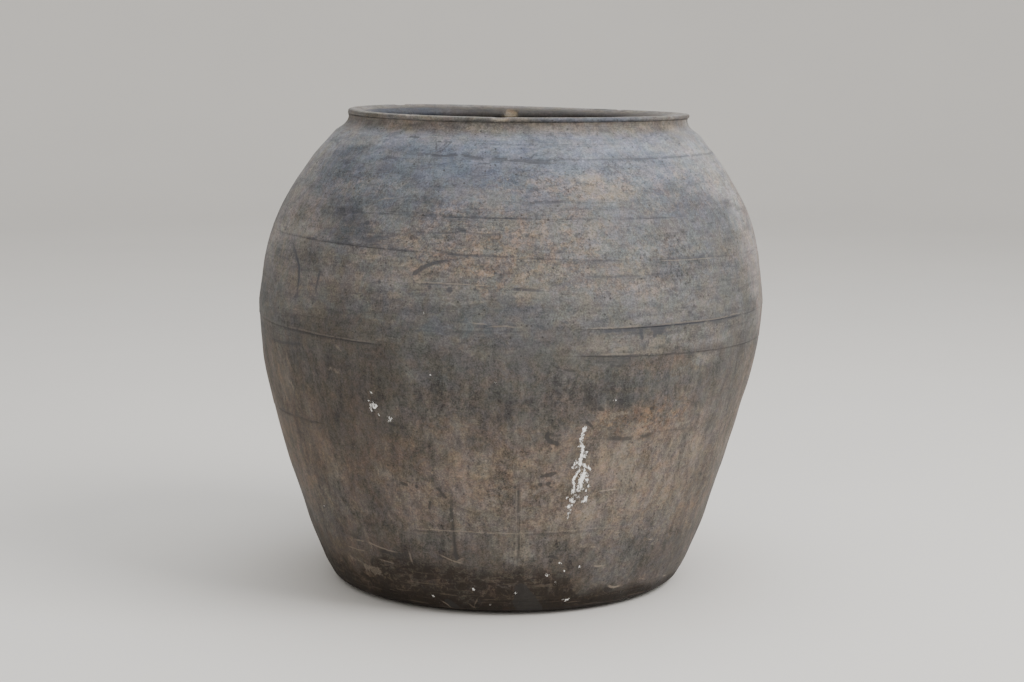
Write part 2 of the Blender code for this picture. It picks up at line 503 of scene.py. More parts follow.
# %% Turn the lip
LIP_SECTION = [
    (165.3, 455.75), (166.0, 456.3), (166.5, 457.5), (166.3, 459.0), (165.0, 459.9),
    (162.5, 460.1), (156.0, 458.4), (150.0, 456.6), (146.6, 455.2), (144.8, 452.8),
    (144.9, 449.0), (147.6, 445.6), (152.8, 444.6), (153.6, 446.4),
]
section = closed_curve(LIP_SECTION, 64, corner=(0, 13))
lip = turn_section("rim_lip_clay", section)
x, y, z = read_points(lip).T / MM
turn, radius = np.arctan2(y, x), np.hypot(x, y)
degrees = from_front(turn)
loose = np.clip(fade(z, 456.2, 457.5) + fade(150.0 - radius, 0, 3), 0, 1)
radius = radius + loose * (0.30 * soft_noise(turn, z, 60, 9, 31)
                           + 0.10 * soft_noise(turn, z, 9, 3, 32))
z = z + loose * (0.35 * soft_noise(turn, z, 150, 60, 33)
                 + 0.07 * soft_noise(turn, z, 14, 40, 34))
left_side = fade(-np.sin(np.radians(degrees)), 0.3, 0.95)
radius = radius - 0.9 * left_side * fade(z, 456.0, 457.4) * fade(radius, 158, 165)
print("lip before chipping, points:", len(z))

# %% [markdown]
# The nicks are pushed in point by point, the way a chip really leaves the edge: deepest at its middle
# and gone at its ends. On the inner edge a chip goes outwards and a little down, and on the outer edge
# it goes down and a little inwards.

# %% Chip the lip
CHIPS = [  # degrees from the front, half width in degrees, depth in mm, on the inner edge
    (-177.3, 3.0, 3.0, True), (-6.0, 2.4, 0.8, False),
    (96.0, 2.5, 1.4, False), (-132.0, 3.0, 1.8, False), (60.0, 1.2, 0.7, False),
    (-96.0, 1.6, 1.0, True), (-38.0, 1.1, 0.6, False), (140.0, 1.4, 1.0, False),
]
for middle, half, depth, inner in CHIPS:
    apart = np.abs((degrees - middle + 180) % 360 - 180) / half
    bite = np.clip(1 - apart**2, 0, 1) * depth
    if inner:
        bite = bite * fade(151.0 - radius, 0, 5) * fade(z, 449, 454)
        radius = radius + bite
        z = z - 0.8 * bite
    else:
        bite = bite * fade(radius, 160, 165) * fade(z, 457.0, 459.0)
        radius = radius - 0.7 * bite
        z = z - bite
write_points(lip, stand(radius, z, turn))
lip_radius = radius
surface[lip.name] = (turn, z, np.ones(len(z)))
smooth_but_keep_corners(lip, 60)
pieces["rim_lip"] = lip
print("lip faces:", len(lip.data.polygons))

# %% [markdown]
# The colour of this jar comes from its life. The kiln smoked the shoulder blue-grey, the body is a brown
# grey clay that shows where the smoke skin has worn off, and years on wet ground or a hearth blackened
# the foot. A potter's eye sees broad bands first, so the washes start from a list of heights, each with
# the clay's own colour there; the lowest bands also carry painted contact shadow at the foot, and the
# band just under the collar a painted sky reflection. The numbers are the share of red, green and blue
# light the clay gives back.

# %% Broad bands of colour
BANDS = [  # height in mm, colour
    # The two lowest bands, up to 14 mm, are the foot's soot darkened further by painted contact shadow
    # where the jar stands on the floor.
    (0, (0.011, 0.007, 0.005)), (14, (0.023, 0.016, 0.011)), (30, (0.047, 0.036, 0.028)),
    (46, (0.051, 0.041, 0.033)), (60, (0.072, 0.061, 0.053)), (78, (0.087, 0.075, 0.065)),
    (92, (0.101, 0.086, 0.074)), (140, (0.110, 0.089, 0.073)), (165, (0.100, 0.082, 0.069)),
    (190, (0.082, 0.070, 0.061)), (215, (0.070, 0.061, 0.054)), (245, (0.073, 0.067, 0.061)),
    (270, (0.084, 0.078, 0.073)), (290, (0.086, 0.083, 0.081)), (312, (0.104, 0.097, 0.091)),
    (345, (0.107, 0.101, 0.096)), (375, (0.097, 0.095, 0.098)), (398, (0.098, 0.097, 0.104)),
    # The band at 437 mm, just under the collar, is blue-grey smoke made paler by a painted sky reflection
    # on the top of the shoulder.
    (406, (0.096, 0.100, 0.116)), (424, (0.109, 0.114, 0.134)), (437, (0.154, 0.155, 0.174)),
    (443, (0.146, 0.140, 0.144)), (446, (0.136, 0.125, 0.116)), (449, (0.124, 0.105, 0.088)),
    (455, (0.104, 0.085, 0.070)),
]
band_height = [h for h, c in BANDS]


def band_colour(height):
    return np.stack([np.interp(height, band_height, [c[k] for h, c in BANDS])
                     for k in range(3)], axis=-1)


print("belly clay:", band_colour(np.array([276.0]))[0].round(3))

# %% [markdown]
# Over the bands go washes: soft patches where the smoke lay thicker, where the skin wore thin or where
# soot crept up. Each has a place (degrees from the front and height in mm), a half width and a half
# height, and a colour to go towards. The edge of each patch is pulled about by the same soft noise as
# the dents, because no stain on a pot is an ellipse.

# %% Places on the jar's skin
arc_height = np.linspace(0, 460, 921)
arc_length = np.concatenate([[0], np.cumsum(np.hypot(np.diff(wall_radius(arc_height)),
                                                     np.diff(arc_height)))])


def skin(piece_name):
    """For every point: degrees from the front, height in mm, and the outside share."""
    turn, height, outside = surface[piece_name]
    return from_front(turn), height, outside


def patch(degrees, height, middle, level, half_wide, half_tall, seed, ragged=0.3):
    """1 in the middle of a soft patch, 0 well outside it."""
    turn = np.radians(degrees - 90)
    pull = ragged * soft_noise(turn, height, 26, 20, seed) + 0.5 * ragged * soft_noise(
        turn, height, 9, 8, seed + 1)
    across = ((degrees - middle + 180) % 360 - 180) / half_wide
    upward = (height - level) / half_tall
    return 1 - fade(np.hypot(across, upward) + pull, 0.55, 1.25)


print("along the wall from foot to lip:", round(float(arc_length[-1])), "mm")

# %% [markdown]
# The shoulder and the upper belly have the most smoke, and also the most wear, because hands and
# baskets rubbed them: blue-grey clouds beside buff ones. The far left is paler. The right edge is
# painted paler too, as painted rim light, with a painted highlight high on the right of the shoulder.

# %% Washes on the shoulder and the upper belly
SLATE = (0.075, 0.080, 0.096)
# a pale blue-grey: smoke with a painted sky reflection on the top of the shoulder
SLATE_AND_SKY_REFLECTION = (0.150, 0.156, 0.182)
DARK_SLATE = (0.050, 0.051, 0.058)
BUFF = (0.146, 0.124, 0.107)
WASHES = [  # middle, level, half width, half height, colour, strength
    # shoulder, front
    # (14, 436) is blue-grey smoke with a painted sky reflection on the top of the shoulder.
    (-12, 425, 26, 16, (0.098, 0.108, 0.135), 0.7), (14, 436, 40, 9, SLATE_AND_SKY_REFLECTION, 0.6),
    (-6, 412, 12, 12, SLATE, 0.6), (16, 404, 14, 9, (0.165, 0.150, 0.142), 0.8),
    (22, 395, 10, 8, (0.170, 0.145, 0.125), 0.7), (30, 418, 28, 18, (0.152, 0.157, 0.176), 0.75),
    # (62, 418) is a painted highlight from the key light, and (80, 400) is painted rim light at the right
    # edge.
    (62, 418, 22, 30, (0.196, 0.192, 0.197), 0.8), (80, 400, 22, 50, (0.240, 0.224, 0.212), 0.85),
    (-45, 412, 24, 26, (0.092, 0.094, 0.102), 0.7),
    (-80, 424, 20, 26, (0.225, 0.212, 0.200), 0.7),
    # upper body, front and left
    (-44, 366, 9, 17, DARK_SLATE, 0.75), (-51, 336, 3.5, 18, DARK_SLATE, 0.55),
    (-31, 384, 5, 6, SLATE, 0.5), (-18, 345, 16, 26, BUFF, 0.5),
    (4, 358, 20, 22, (0.138, 0.120, 0.104), 0.7), (-6, 330, 16, 12, (0.135, 0.114, 0.096), 0.6),
    (14, 318, 16, 14, (0.130, 0.116, 0.104), 0.5), (-64, 360, 16, 30, (0.168, 0.142, 0.122), 0.7),
    (-50, 318, 24, 18, (0.112, 0.094, 0.080), 0.6), (-22, 326, 8, 14, (0.118, 0.100, 0.088), 0.5),
    # upper body, right
    (43, 380, 8, 13, (0.062, 0.064, 0.074), 0.8), (52, 372, 12, 18, (0.088, 0.086, 0.090), 0.6),
    (30, 350, 16, 18, (0.110, 0.110, 0.110), 0.5), (46, 330, 14, 18, (0.092, 0.092, 0.094), 0.6),
    # (80, 325) is painted rim light at the right edge.
    (56, 336, 5, 9, (0.125, 0.100, 0.080), 0.5), (80, 325, 17, 70, (0.185, 0.158, 0.142), 0.85),
]
print("washes on the upper half:", len(WASHES))

# %% [markdown]
# Lower down the wall is browner. Dark streaks run down the left, a warm worn place lies on the right,
# and the foot is black with soot apart from a few scuffs.

# %% Washes on the lower wall and the foot
WASHES += [
    # belly
    (-10, 282, 14, 12, (0.066, 0.069, 0.074), 0.8), (2, 272, 10, 12, (0.068, 0.068, 0.070), 0.7),
    (-38, 276, 14, 14, (0.072, 0.067, 0.062), 0.7),
    (-55, 290, 14, 16, (0.098, 0.086, 0.076), 0.5), (30, 290, 20, 14, (0.112, 0.108, 0.106), 0.6),
    (26, 264, 14, 9, (0.112, 0.104, 0.096), 0.6), (43, 263, 12, 10, (0.130, 0.122, 0.114), 0.75),
    (34, 243, 8, 7, (0.088, 0.071, 0.058), 0.7), (47, 243, 5, 7, (0.115, 0.106, 0.098), 0.6),
    (28, 229, 12, 6, (0.060, 0.058, 0.056), 0.7), (24, 214, 14, 6, (0.062, 0.060, 0.058), 0.5),
    # lower body
    (28, 191, 9, 14, (0.114, 0.087, 0.067), 0.7), (32, 196, 6, 11, (0.070, 0.053, 0.042), 0.5),
    (42, 189, 9, 10, (0.080, 0.064, 0.052), 0.6), (18, 216, 2.2, 14, (0.050, 0.046, 0.042), 0.6),
    (9, 178, 4, 8, (0.060, 0.058, 0.058), 0.5), (4, 240, 5, 28, (0.058, 0.055, 0.052), 0.6),
    (-34, 210, 4.5, 34, (0.046, 0.038, 0.032), 0.75),
    (-30, 250, 5, 12, (0.055, 0.048, 0.042), 0.6), (-42, 246, 6, 10, (0.062, 0.058, 0.050), 0.5),
    (-16, 240, 8, 22, (0.068, 0.065, 0.062), 0.6), (-14, 165, 12, 30, (0.084, 0.071, 0.061), 0.5),
    (-40, 170, 22, 50, (0.068, 0.052, 0.041), 0.75), (-5, 140, 9, 34, (0.122, 0.099, 0.081), 0.6),
    (30, 150, 18, 40, (0.128, 0.102, 0.083), 0.7), (44, 150, 11, 22, (0.136, 0.110, 0.089), 0.75),
    (-36, 100, 18, 26, (0.080, 0.066, 0.056), 0.6), (8, 96, 4, 8, (0.120, 0.098, 0.082), 0.5),
    (-64, 170, 18, 80, (0.090, 0.068, 0.051), 0.7), (60, 100, 12, 44, (0.094, 0.072, 0.055), 0.7),
    # (80, 190) is painted rim light at the right edge.
    (80, 190, 14, 70, (0.116, 0.088, 0.069), 0.7),
    # foot
    (4, 64, 5, 12, (0.145, 0.128, 0.114), 0.8), (-34, 62, 10, 14, (0.054, 0.044, 0.038), 0.7),
    (-43, 34, 8, 9, (0.096, 0.074, 0.058), 0.75), (-60, 44, 14, 16, (0.070, 0.056, 0.046), 0.6),
    (36, 46, 17, 24, (0.081, 0.072, 0.066), 0.95), (56, 40, 16, 28, (0.068, 0.058, 0.052), 0.95),
    (78, 36, 14, 30, (0.074, 0.062, 0.054), 0.8), (6, 40, 14, 10, (0.056, 0.046, 0.038), 0.9),
    (-26, 34, 14, 14, (0.056, 0.045, 0.037), 0.8), (5, 18, 7, 13, (0.038, 0.029, 0.022), 0.9),
    (-12, 30, 8, 16, (0.060, 0.049, 0.041), 0.7),
]
print("washes down to the foot:", len(WASHES))

# %% [markdown]
# A second coat evens out the first. These washes lie over the ones below them, so their order counts.
# Some of them are painted shade: a broad darkening of the left side of the body, and painted contact
# shadow along the foot.

# %% The second coat
WASHES += [
    # (-42, 216) here and (-42, 250) below are painted shade on the left side of the body.
    (-42, 216, 17, 70, (0.052, 0.042, 0.034), 0.45),
    (-27, 182, 5, 12, (0.045, 0.038, 0.032), 0.6), (-25, 222, 5, 16, (0.050, 0.043, 0.036), 0.5),
    (0, 211, 6, 22, (0.056, 0.052, 0.048), 0.5), (26, 106, 17, 16, (0.150, 0.121, 0.097), 0.75),
    (-36, 120, 13, 18, (0.064, 0.051, 0.042), 0.65),
    # (60, 3) and (-58, 6) below are painted contact shadow along the foot, on the right and on the left.
    (-40, 74, 13, 22, (0.056, 0.044, 0.036), 0.6), (60, 3, 44, 14, (0.010, 0.007, 0.005), 0.95),
    (-58, 6, 26, 14, (0.012, 0.007, 0.005), 0.9), (-42, 250, 18, 34, (0.058, 0.049, 0.042), 0.45),
    (-56, 36, 20, 26, (0.070, 0.052, 0.038), 0.6), (-76, 372, 10, 60, (0.205, 0.184, 0.168), 0.5),
    # (78, 167) is painted rim light at the right edge.
    (-76, 165, 9, 22, (0.130, 0.094, 0.068), 0.5), (78, 167, 10, 18, (0.155, 0.118, 0.092), 0.5),
    (-16, 358, 8, 8, (0.142, 0.128, 0.118), 0.5), (14, 345, 8, 8, (0.152, 0.138, 0.124), 0.6),
    (-11, 94, 7, 16, (0.128, 0.108, 0.091), 0.7), (-15, 58, 4, 8, (0.050, 0.042, 0.036), 0.6),
    (14, 122, 6, 14, (0.130, 0.106, 0.086), 0.5), (14, 166, 5, 10, (0.080, 0.066, 0.056), 0.5),
    (0, 112, 6, 22, (0.138, 0.115, 0.095), 0.5), (10, 330, 7, 7, (0.140, 0.126, 0.112), 0.5),
    (-42, 388, 14, 10, (0.072, 0.074, 0.080), 0.5), (-14, 404, 8, 9, (0.068, 0.074, 0.090), 0.6),
    (28, 308, 20, 11, (0.132, 0.128, 0.126), 0.55), (14, 291, 7, 8, (0.122, 0.117, 0.112), 0.7),
    (0, 291, 7, 9, (0.072, 0.072, 0.074), 0.6), (30, 82, 15, 9, (0.122, 0.107, 0.096), 0.65),
    (-6, 420, 16, 6, (0.118, 0.126, 0.152), 0.5), (-28, 236, 5, 24, (0.050, 0.043, 0.036), 0.5),
]
print("washes with the second coat:", len(WASHES))

# %% [markdown]
# The collar has its own small patches, and the back of the jar is washed in the same manner as the front.

# %% Washes on the collar and the back
WASHES += [
    # collar
    (-57, 450, 2.6, 3, (0.056, 0.042, 0.034), 0.6), (-50, 451, 2, 3, (0.060, 0.047, 0.038), 0.6),
    (-36, 450, 12, 5, (0.138, 0.112, 0.090), 0.7), (-12, 450, 14, 4, (0.158, 0.134, 0.112), 0.6),
    (24, 450, 8, 4, (0.085, 0.076, 0.070), 0.6), (46, 450, 16, 5, (0.140, 0.114, 0.092), 0.8),
    (28, 449, 3, 3, (0.060, 0.050, 0.044), 0.5), (-66, 446, 8, 6, (0.140, 0.124, 0.108), 0.6),
    (-54, 438, 9, 8, (0.150, 0.142, 0.138), 0.6), (62, 440, 10, 8, (0.165, 0.150, 0.138), 0.6),
    # the back of the jar, in the same manner
    (150, 420, 40, 22, (0.100, 0.108, 0.130), 0.6), (-150, 392, 26, 16, BUFF, 0.5),
    (120, 360, 20, 26, (0.125, 0.110, 0.098), 0.6), (-110, 350, 18, 22, DARK_SLATE, 0.5),
    (168, 350, 20, 24, (0.138, 0.116, 0.098), 0.6),
    (-130, 300, 22, 18, (0.092, 0.082, 0.074), 0.5),
    (100, 290, 16, 16, (0.072, 0.073, 0.076), 0.6),
    (-165, 262, 24, 16, (0.068, 0.066, 0.066), 0.6),
    (135, 230, 16, 20, (0.060, 0.054, 0.049), 0.6),
    (-100, 210, 14, 30, (0.080, 0.064, 0.053), 0.5),
    (-140, 170, 18, 34, (0.116, 0.094, 0.077), 0.6),
    (160, 150, 22, 36, (0.110, 0.089, 0.073), 0.6),
    (105, 150, 14, 30, (0.078, 0.062, 0.052), 0.5),
    (-165, 60, 20, 16, (0.060, 0.050, 0.044), 0.6), (120, 44, 26, 20, (0.066, 0.055, 0.048), 0.8),
    (-115, 40, 20, 18, (0.050, 0.040, 0.033), 0.7),
]
print("washes in all:", len(WASHES))

# %% [markdown]
# The washes are laid in the order of the list, each pulling the colour towards its own. The upper half
# then takes a slight cool cast, because smoke that lay longest there left a blue bloom.

# %% Lay the washes
COOL_CAST = np.array([0.01, 0.045, 0.10])     # what the bloom adds to red, green and blue, as shares


def lay_washes(piece_name):
    degrees, height = skin(piece_name)[:2]
    colour = band_colour(height)
    for k, (middle, level, wide, tall, towards, strength) in enumerate(WASHES):
        if abs(height - level).min() > 1.6 * tall:
            continue
        share = strength * patch(degrees, height, middle, level, wide, tall, 100 + 2 * k)
        colour = colour + (np.array(towards) - colour) * share[:, None]
    bloom = fade(height, 285, 345)[:, None] * COOL_CAST
    return colour * (1 + bloom)


belly_wash = lay_washes("belly_band_clay")
print("washes laid on the belly band, brightest", belly_wash.max().round(3))

# %% [markdown]
# Fine lines need more care. The mesh has a point about every millimetre and a half, and a scored line is
# half a millimetre wide, so it can't be painted point by point. But the signed distance to a line changes
# evenly from point to point, and the shader can cut a crisp line out of it at any closeness. So each
# point keeps how far it is from the nearest stroke, counted in half widths, and how strong that stroke is.

# %% Strokes drawn on the skin
def nearest_stroke(piece_name, strokes, reach=8.0, wobble=0.5, seed=300):
    """Signed distance to the nearest stroke in half widths, and that stroke's force."""
    degrees, height, outside = skin(piece_name)
    along_up = np.interp(height, arc_height, arc_length)
    girth = wall_radius(height) * math.pi / 180
    turn = np.radians(degrees - 90)
    shake = wobble * (soft_noise(turn, height, 16, 14, seed) + 0.5 * soft_noise(
        turn, height, 5, 5, seed + 1))
    best = np.full(len(height), reach)
    force = np.zeros(len(height))
    for points, half_width, strength in strokes:
        levels = [h for a, h in points]
        if min(levels) > height.max() + 12 or max(levels) < height.min() - 12:
            continue
        spans = list(zip(points[:-1], points[1:]))
        total = len(spans)
        for k, ((a0, h0), (a1, h1)) in enumerate(spans):
            s0, s1 = np.interp([h0, h1], arc_height, arc_length)
            px = ((degrees - a0 + 180) % 360 - 180) * girth
            py = along_up - s0
            lx, ly = (a1 - a0) * girth, s1 - s0
            t = np.clip((px * lx + py * ly) / (lx * lx + ly * ly), 0, 1)
            dx, dy = px - t * lx, py - t * ly
            side = np.where(lx * dy - ly * dx >= 0, 1.0, -1.0)
            away = side * np.hypot(dx, dy) + shake
            away = np.clip(away / (1.25 * half_width), -reach, reach)
            closer = np.abs(away) < np.abs(best)
            best = np.where(closer, away, best)
            place = (k + t) / total
            taper = fade(place, 0, 0.12) * (1 - fade(place, 0.88, 1.0))
            force = np.where(closer, strength * (0.35 + 0.65 * taper), force)
    return best, force * (outside > 0.5)


def joint_stroke(joint, start, end, drop=0.0, step=6):
    """The stretch of a joint between two turns, as the points of a stroke."""
    count = max(2, round(abs(end - start) / step) + 1)
    return [(a, float(joint_height(joint, math.radians(a - 90))) - drop)
            for a in np.linspace(start, end, count)]


print("a joint as a stroke has", len(joint_stroke("foot", -24, 8)), "points")

# %% [markdown]
# On the shoulder the dark lines are the pressed joints and the drag marks of the potter's rib.

# %% Dark lines on the shoulder
DARK_LINES = [  # points (degrees, mm), half width in mm, force
    (joint_stroke("collar", -20, 60, 0.8), 0.5, 0.22),
    (joint_stroke("collar", -16, 46, 3.6), 0.5, 0.40),
    ([(-31, 426), (-22, 426), (-16, 427), (-12, 425), (-5, 424), (0, 423), (5, 421), (12, 420.5)],
     1.0, 1.0),
    ([(18, 418), (24, 417), (30, 416)], 0.6, 0.4),
    ([(2.6, 385.5), (5, 387), (8, 387), (12, 388)], 0.9, 0.9),
    (joint_stroke("shoulder_3", -31, -15, -1.5), 0.6, 0.55),
    (joint_stroke("shoulder_3", -16, 2), 0.7, 0.75),
    (joint_stroke("shoulder_3", 12, 22), 0.5, 0.3),
    (joint_stroke("shoulder_3", 26, 37), 0.7, 0.7),
    (joint_stroke("shoulder_3", 66, 100), 0.5, 0.4),
    ([(-23.5, 361), (-17, 360.5), (-13.5, 360.5), (-11.6, 362.5), (-8, 360), (-1, 359.6)], 0.6,
     0.7),
    ([(-36, 352), (-31, 354.5), (-26, 357.5)], 0.7, 0.7), ([(-35, 350), (-27, 351.5)], 0.6, 0.6),
    (joint_stroke("shoulder_2", -58, -20, -0.6), 0.6, 0.6),
    (joint_stroke("shoulder_2", -20, 0, 0), 0.7, 0.75),
    (joint_stroke("shoulder_2", 3, 26, 0.5), 0.5, 0.4),
    (joint_stroke("shoulder_2", 32, 56, -0.5), 0.7, 0.6),
    (joint_stroke("shoulder_2", 62, 130, 0), 0.5, 0.5),
    ([(15, 324), (20, 323), (26, 322.4), (36, 323)], 0.6, 0.6),
    (joint_stroke("shoulder_1", -22, 0, -0.8), 0.4, 0.4),
    (joint_stroke("shoulder_1", -1, 6, 0.3), 0.8, 0.9),
    (joint_stroke("shoulder_1", 44, 66, 0.3), 0.6, 0.3),
    ([(-53.6, 296), (-53.4, 312), (-54, 320), (-55.5, 326), (-57.5, 333), (-60, 341)], 1.1, 0.8),
    ([(-46, 324), (-46.5, 312), (-47, 300)], 1.2, 0.4),
]
print("dark lines so far:", len(DARK_LINES))

# %% [markdown]
# Lower down they are the two edges of the belly band, a few deep gouges and the scores above the foot.
# The back gets its own lines, in the same manner.

# %% Dark lines on the belly, the lower wall and the back
DARK_LINES += [
    # belly
    (joint_stroke("belly_over", 19, 27, 1.8), 1.1, 1.0),
    (joint_stroke("belly_over", 26, 60, 0.3), 0.8, 1.0),
    (joint_stroke("belly_over", -9, 3, 2.0), 0.5, 0.5),
    (joint_stroke("belly_over", 60, 90, 0.3), 0.5, 0.3),
    ([(27.4, 277), (27.4, 270), (28.2, 265.5)], 0.9, 0.8), ([(28.6, 262), (28.8, 256)], 1.0, 0.7),
    (joint_stroke("belly_under", -63, -48, 0.8), 0.7, 0.5),
    (joint_stroke("belly_under", -50, -28, 0.4), 0.6, 0.5),
    (joint_stroke("belly_under", 14, 30, 0.6), 0.8, 0.7),
    (joint_stroke("belly_under", 34, 54, 0.6), 0.7, 0.45),
    ([(17.5, 248.6), (24, 247.2), (26, 249.5)], 1.3, 0.7), ([(18, 252), (21, 249.5)], 1.4, 0.7),
    (joint_stroke("belly_under", 54, 85, 0.3), 0.5, 0.5),
    ([(-66, 249), (-60, 248.6), (-55, 250.4), (-50, 252)], 0.8, 0.8),
    ([(10.8, 243), (12, 241.6), (13.6, 240.4)], 0.7, 0.8), ([(12.2, 250), (12.5, 243)], 0.5, 0.5),
    # lower wall
    ([(22.6, 175.5), (25, 174.4), (30, 173.6), (33, 174.3), (35.6, 177)], 1.2, 0.9),
    ([(35.6, 177), (41, 176.4), (49, 175.4)], 0.5, 0.5),
    ([(15.8, 228), (16.4, 219), (17.4, 210)], 0.8, 0.6), ([(-66.6, 203), (-65, 204)], 0.8, 0.7),
    (joint_stroke("lower", -88, -46, 0.6), 0.7, 0.8), ([(-62, 161.5), (-58, 163)], 0.7, 0.6),
    ([(-13.5, 119), (-13.6, 108)], 1.0, 0.7),
    ([(-13.7, 107), (-13.5, 92), (-13.6, 78), (-13.4, 67), (-13, 57)], 1.4, 0.7),
    ([(-37, 58.4), (-32, 57), (-29, 58.2), (-27.5, 61)], 1.2, 1.0),
    ([(-50, 70), (-44, 67.5), (-38, 66.5)], 0.8, 0.6),
    ([(2.9, 134), (3.0, 110), (3.3, 90), (3.4, 72), (3.2, 56)], 0.7, 0.8),
    (joint_stroke("foot", 6, 22, 1.2), 0.5, 0.6), (joint_stroke("foot", -24, -14, 1.6), 0.5, 0.6),
    ([(-11.8, 109), (-8, 106), (-3, 106)], 0.9, 0.4), ([(-22.5, 113), (-21.2, 103)], 0.8, 0.5),
    (joint_stroke("slab", 20, 62, -4), 0.7, 0.5),
    # the back
    ([(150, 425), (165, 423), (-178, 424), (-160, 421)], 0.7, 0.7),
    (joint_stroke("shoulder_3", 130, 200), 0.6, 0.7),
    (joint_stroke("shoulder_2", 170, 250), 0.7, 0.8),
    (joint_stroke("shoulder_1", 120, 160), 0.6, 0.6),
    (joint_stroke("belly_over", 150, 215, 0.5), 0.9, 0.9),
    (joint_stroke("belly_under", 110, 175, 0.5), 0.9, 0.9),
    (joint_stroke("lower", 120, 170), 0.7, 0.6), ([(140, 120), (139, 100), (141, 70)], 1.6, 0.7),
    ([(-120, 330), (-121, 300), (-118, 280)], 1.0, 0.7),
    ([(100, 200), (112, 197), (120, 199)], 0.7, 0.6),
    (joint_stroke("foot", 150, 200, 0.5), 0.6, 0.7),
    (joint_stroke("belly_under", 200, 260, 0.5), 0.7, 0.7),
]
print("dark lines in all:", len(DARK_LINES))

# %% [markdown]
# The pale lines are scrapes through the dark skin: beside the joints, along the scores and scattered
# over the foot.

# %% Pale scrapes
PALE_LINES = [
    (joint_stroke("foot", -24, 8, -0.6), 0.45, 0.45),
    (joint_stroke("foot", 9, 30, -0.8), 0.4, 0.25),
    ([(2.3, 135), (2.4, 112), (2.7, 92), (2.8, 74), (2.6, 50)], 0.4, 0.35),
    ([(3.6, 128), (3.7, 108), (3.9, 88), (3.9, 70)], 0.35, 0.25),
    ([(23, 124.8), (28.2, 125.6)], 0.5, 0.8),
    ([(-34.6, 385), (-32.5, 387.4), (-30, 388.2)], 0.5, 0.4),
    (joint_stroke("belly_over", 30, 60, -1.2), 0.5, 0.4),
    (joint_stroke("belly_over", 16, 28, -1.0), 0.5, 0.4),
    (joint_stroke("belly_under", -56, -30, -1.0), 0.5, 0.25),
    (joint_stroke("belly_under", 19, 26, -1.8), 0.6, 0.4),
    (joint_stroke("shoulder_1", -22, -4, -1.6), 0.4, 0.5),
    (joint_stroke("shoulder_2", 34, 50, 0.9), 0.4, 0.4),
    ([(-46, 63.6), (-41, 65), (-36, 61.4), (-31, 59.6)], 0.6, 0.6),
    ([(-27.0, 62), (-26.6, 51)], 0.6, 0.5), ([(-50, 55), (-46, 53.6), (-43, 54)], 0.5, 0.4),
    ([(-38, 49), (-33, 47)], 0.5, 0.45),
    ([(-18, 62.5), (-15.6, 58.5), (-13.6, 56), (-11.6, 54.6)], 0.55, 0.6),
    ([(-13.2, 57), (-11.4, 60)], 0.4, 0.5), ([(42.4, 68.2), (44, 66.6), (45.6, 65.4)], 0.5, 0.9),
    ([(43.8, 62), (45.2, 61.2)], 0.4, 0.6), ([(25.6, 48.4), (26.8, 47.8), (28, 48)], 0.6, 0.8),
    ([(32.2, 25.6), (33.4, 23.4), (35, 22), (36.6, 22.4)], 0.8, 0.9),
    ([(58.4, 19.4), (60.4, 18)], 0.6, 0.8), ([(44.6, 25), (48, 23.4)], 0.4, 0.7),
    ([(23.2, 68.6), (24.8, 68)], 0.6, 0.7), ([(30, 80.4), (31.6, 80.2)], 0.5, 0.6),
    ([(-19.4, 13), (-17.8, 9.5), (-17, 6)], 0.5, 0.6),
    ([(-11, 12), (-9.6, 8), (-9, 12), (-8, 18)], 0.5, 0.35),
    ([(-45.8, 258), (-45.2, 250)], 0.4, 0.3), ([(-4, 281), (-1, 281.4), (1, 280.6)], 0.5, 0.5),
    ([(-8, 284), (-5, 283.4)], 0.4, 0.5), ([(-40, 64), (-39.6, 56)], 0.4, 0.4),
    ([(17.2, 404), (19, 408)], 0.5, 0.5), ([(13, 401), (15, 405)], 0.5, 0.5),
    ([(150, 150), (157, 151)], 0.5, 0.8), ([(-150, 96), (-146, 92)], 0.5, 0.8),
    ([(172, 40), (176, 43)], 0.6, 0.8), (joint_stroke("foot", 160, 190, -1), 0.5, 0.8),
    (joint_stroke("belly_over", 160, 200, -1), 0.5, 0.6),
]
print("pale lines:", len(PALE_LINES))

# %% [markdown]
# Splashes, smears and worn patches have a body as well as a path, so they are painted as brush strokes:
# a chain of places, each with a radius in mm. A point inside the stroke gets a positive depth and one
# outside gets a negative distance, and the shader breaks the edge up later, the way lime wash only
# catches on the high grains of a rough wall.

# %% Brush strokes
def brush_depth(piece_name, strokes, wobble=0.0, seed=320, reach=12.0):
    """How deep each point lies inside the nearest brush stroke, in mm; negative outside."""
    degrees, height, outside = skin(piece_name)
    along_up = np.interp(height, arc_height, arc_length)
    girth = wall_radius(height) * math.pi / 180
    depth = np.full(len(height), -reach)
    for stroke in strokes:
        levels = [h for a, h, r in stroke]
        if min(levels) > height.max() + 12 or max(levels) < height.min() - 12:
            continue
        chain = list(zip(stroke[:-1], stroke[1:])) or [(stroke[0], stroke[0])]
        for (a0, h0, r0), (a1, h1, r1) in chain:
            s0, s1 = np.interp([h0, h1], arc_height, arc_length)
            px = ((degrees - a0 + 180) % 360 - 180) * girth
            py = along_up - s0
            lx, ly = (a1 - a0) * girth, s1 - s0
            t = np.clip((px * lx + py * ly) / (lx * lx + ly * ly + 1e-9), 0, 1)
            away = np.hypot(px - t * lx, py - t * ly)
            depth = np.maximum(depth, r0 + (r1 - r0) * t - away)
    if wobble:
        turn = np.radians(degrees - 90)
        depth = depth + wobble * (soft_noise(turn, height, 9, 8, seed)
                                  + 0.6 * soft_noise(turn, height, 4, 4, seed + 1))
    return np.clip(depth * (outside > 0.5) - reach * (outside <= 0.5), -reach, reach)


print("the brush is ready")

# %% [markdown]
# The lime wash ran down the front right of the belly in one long splash and fell on the rest of the jar
# in drops.

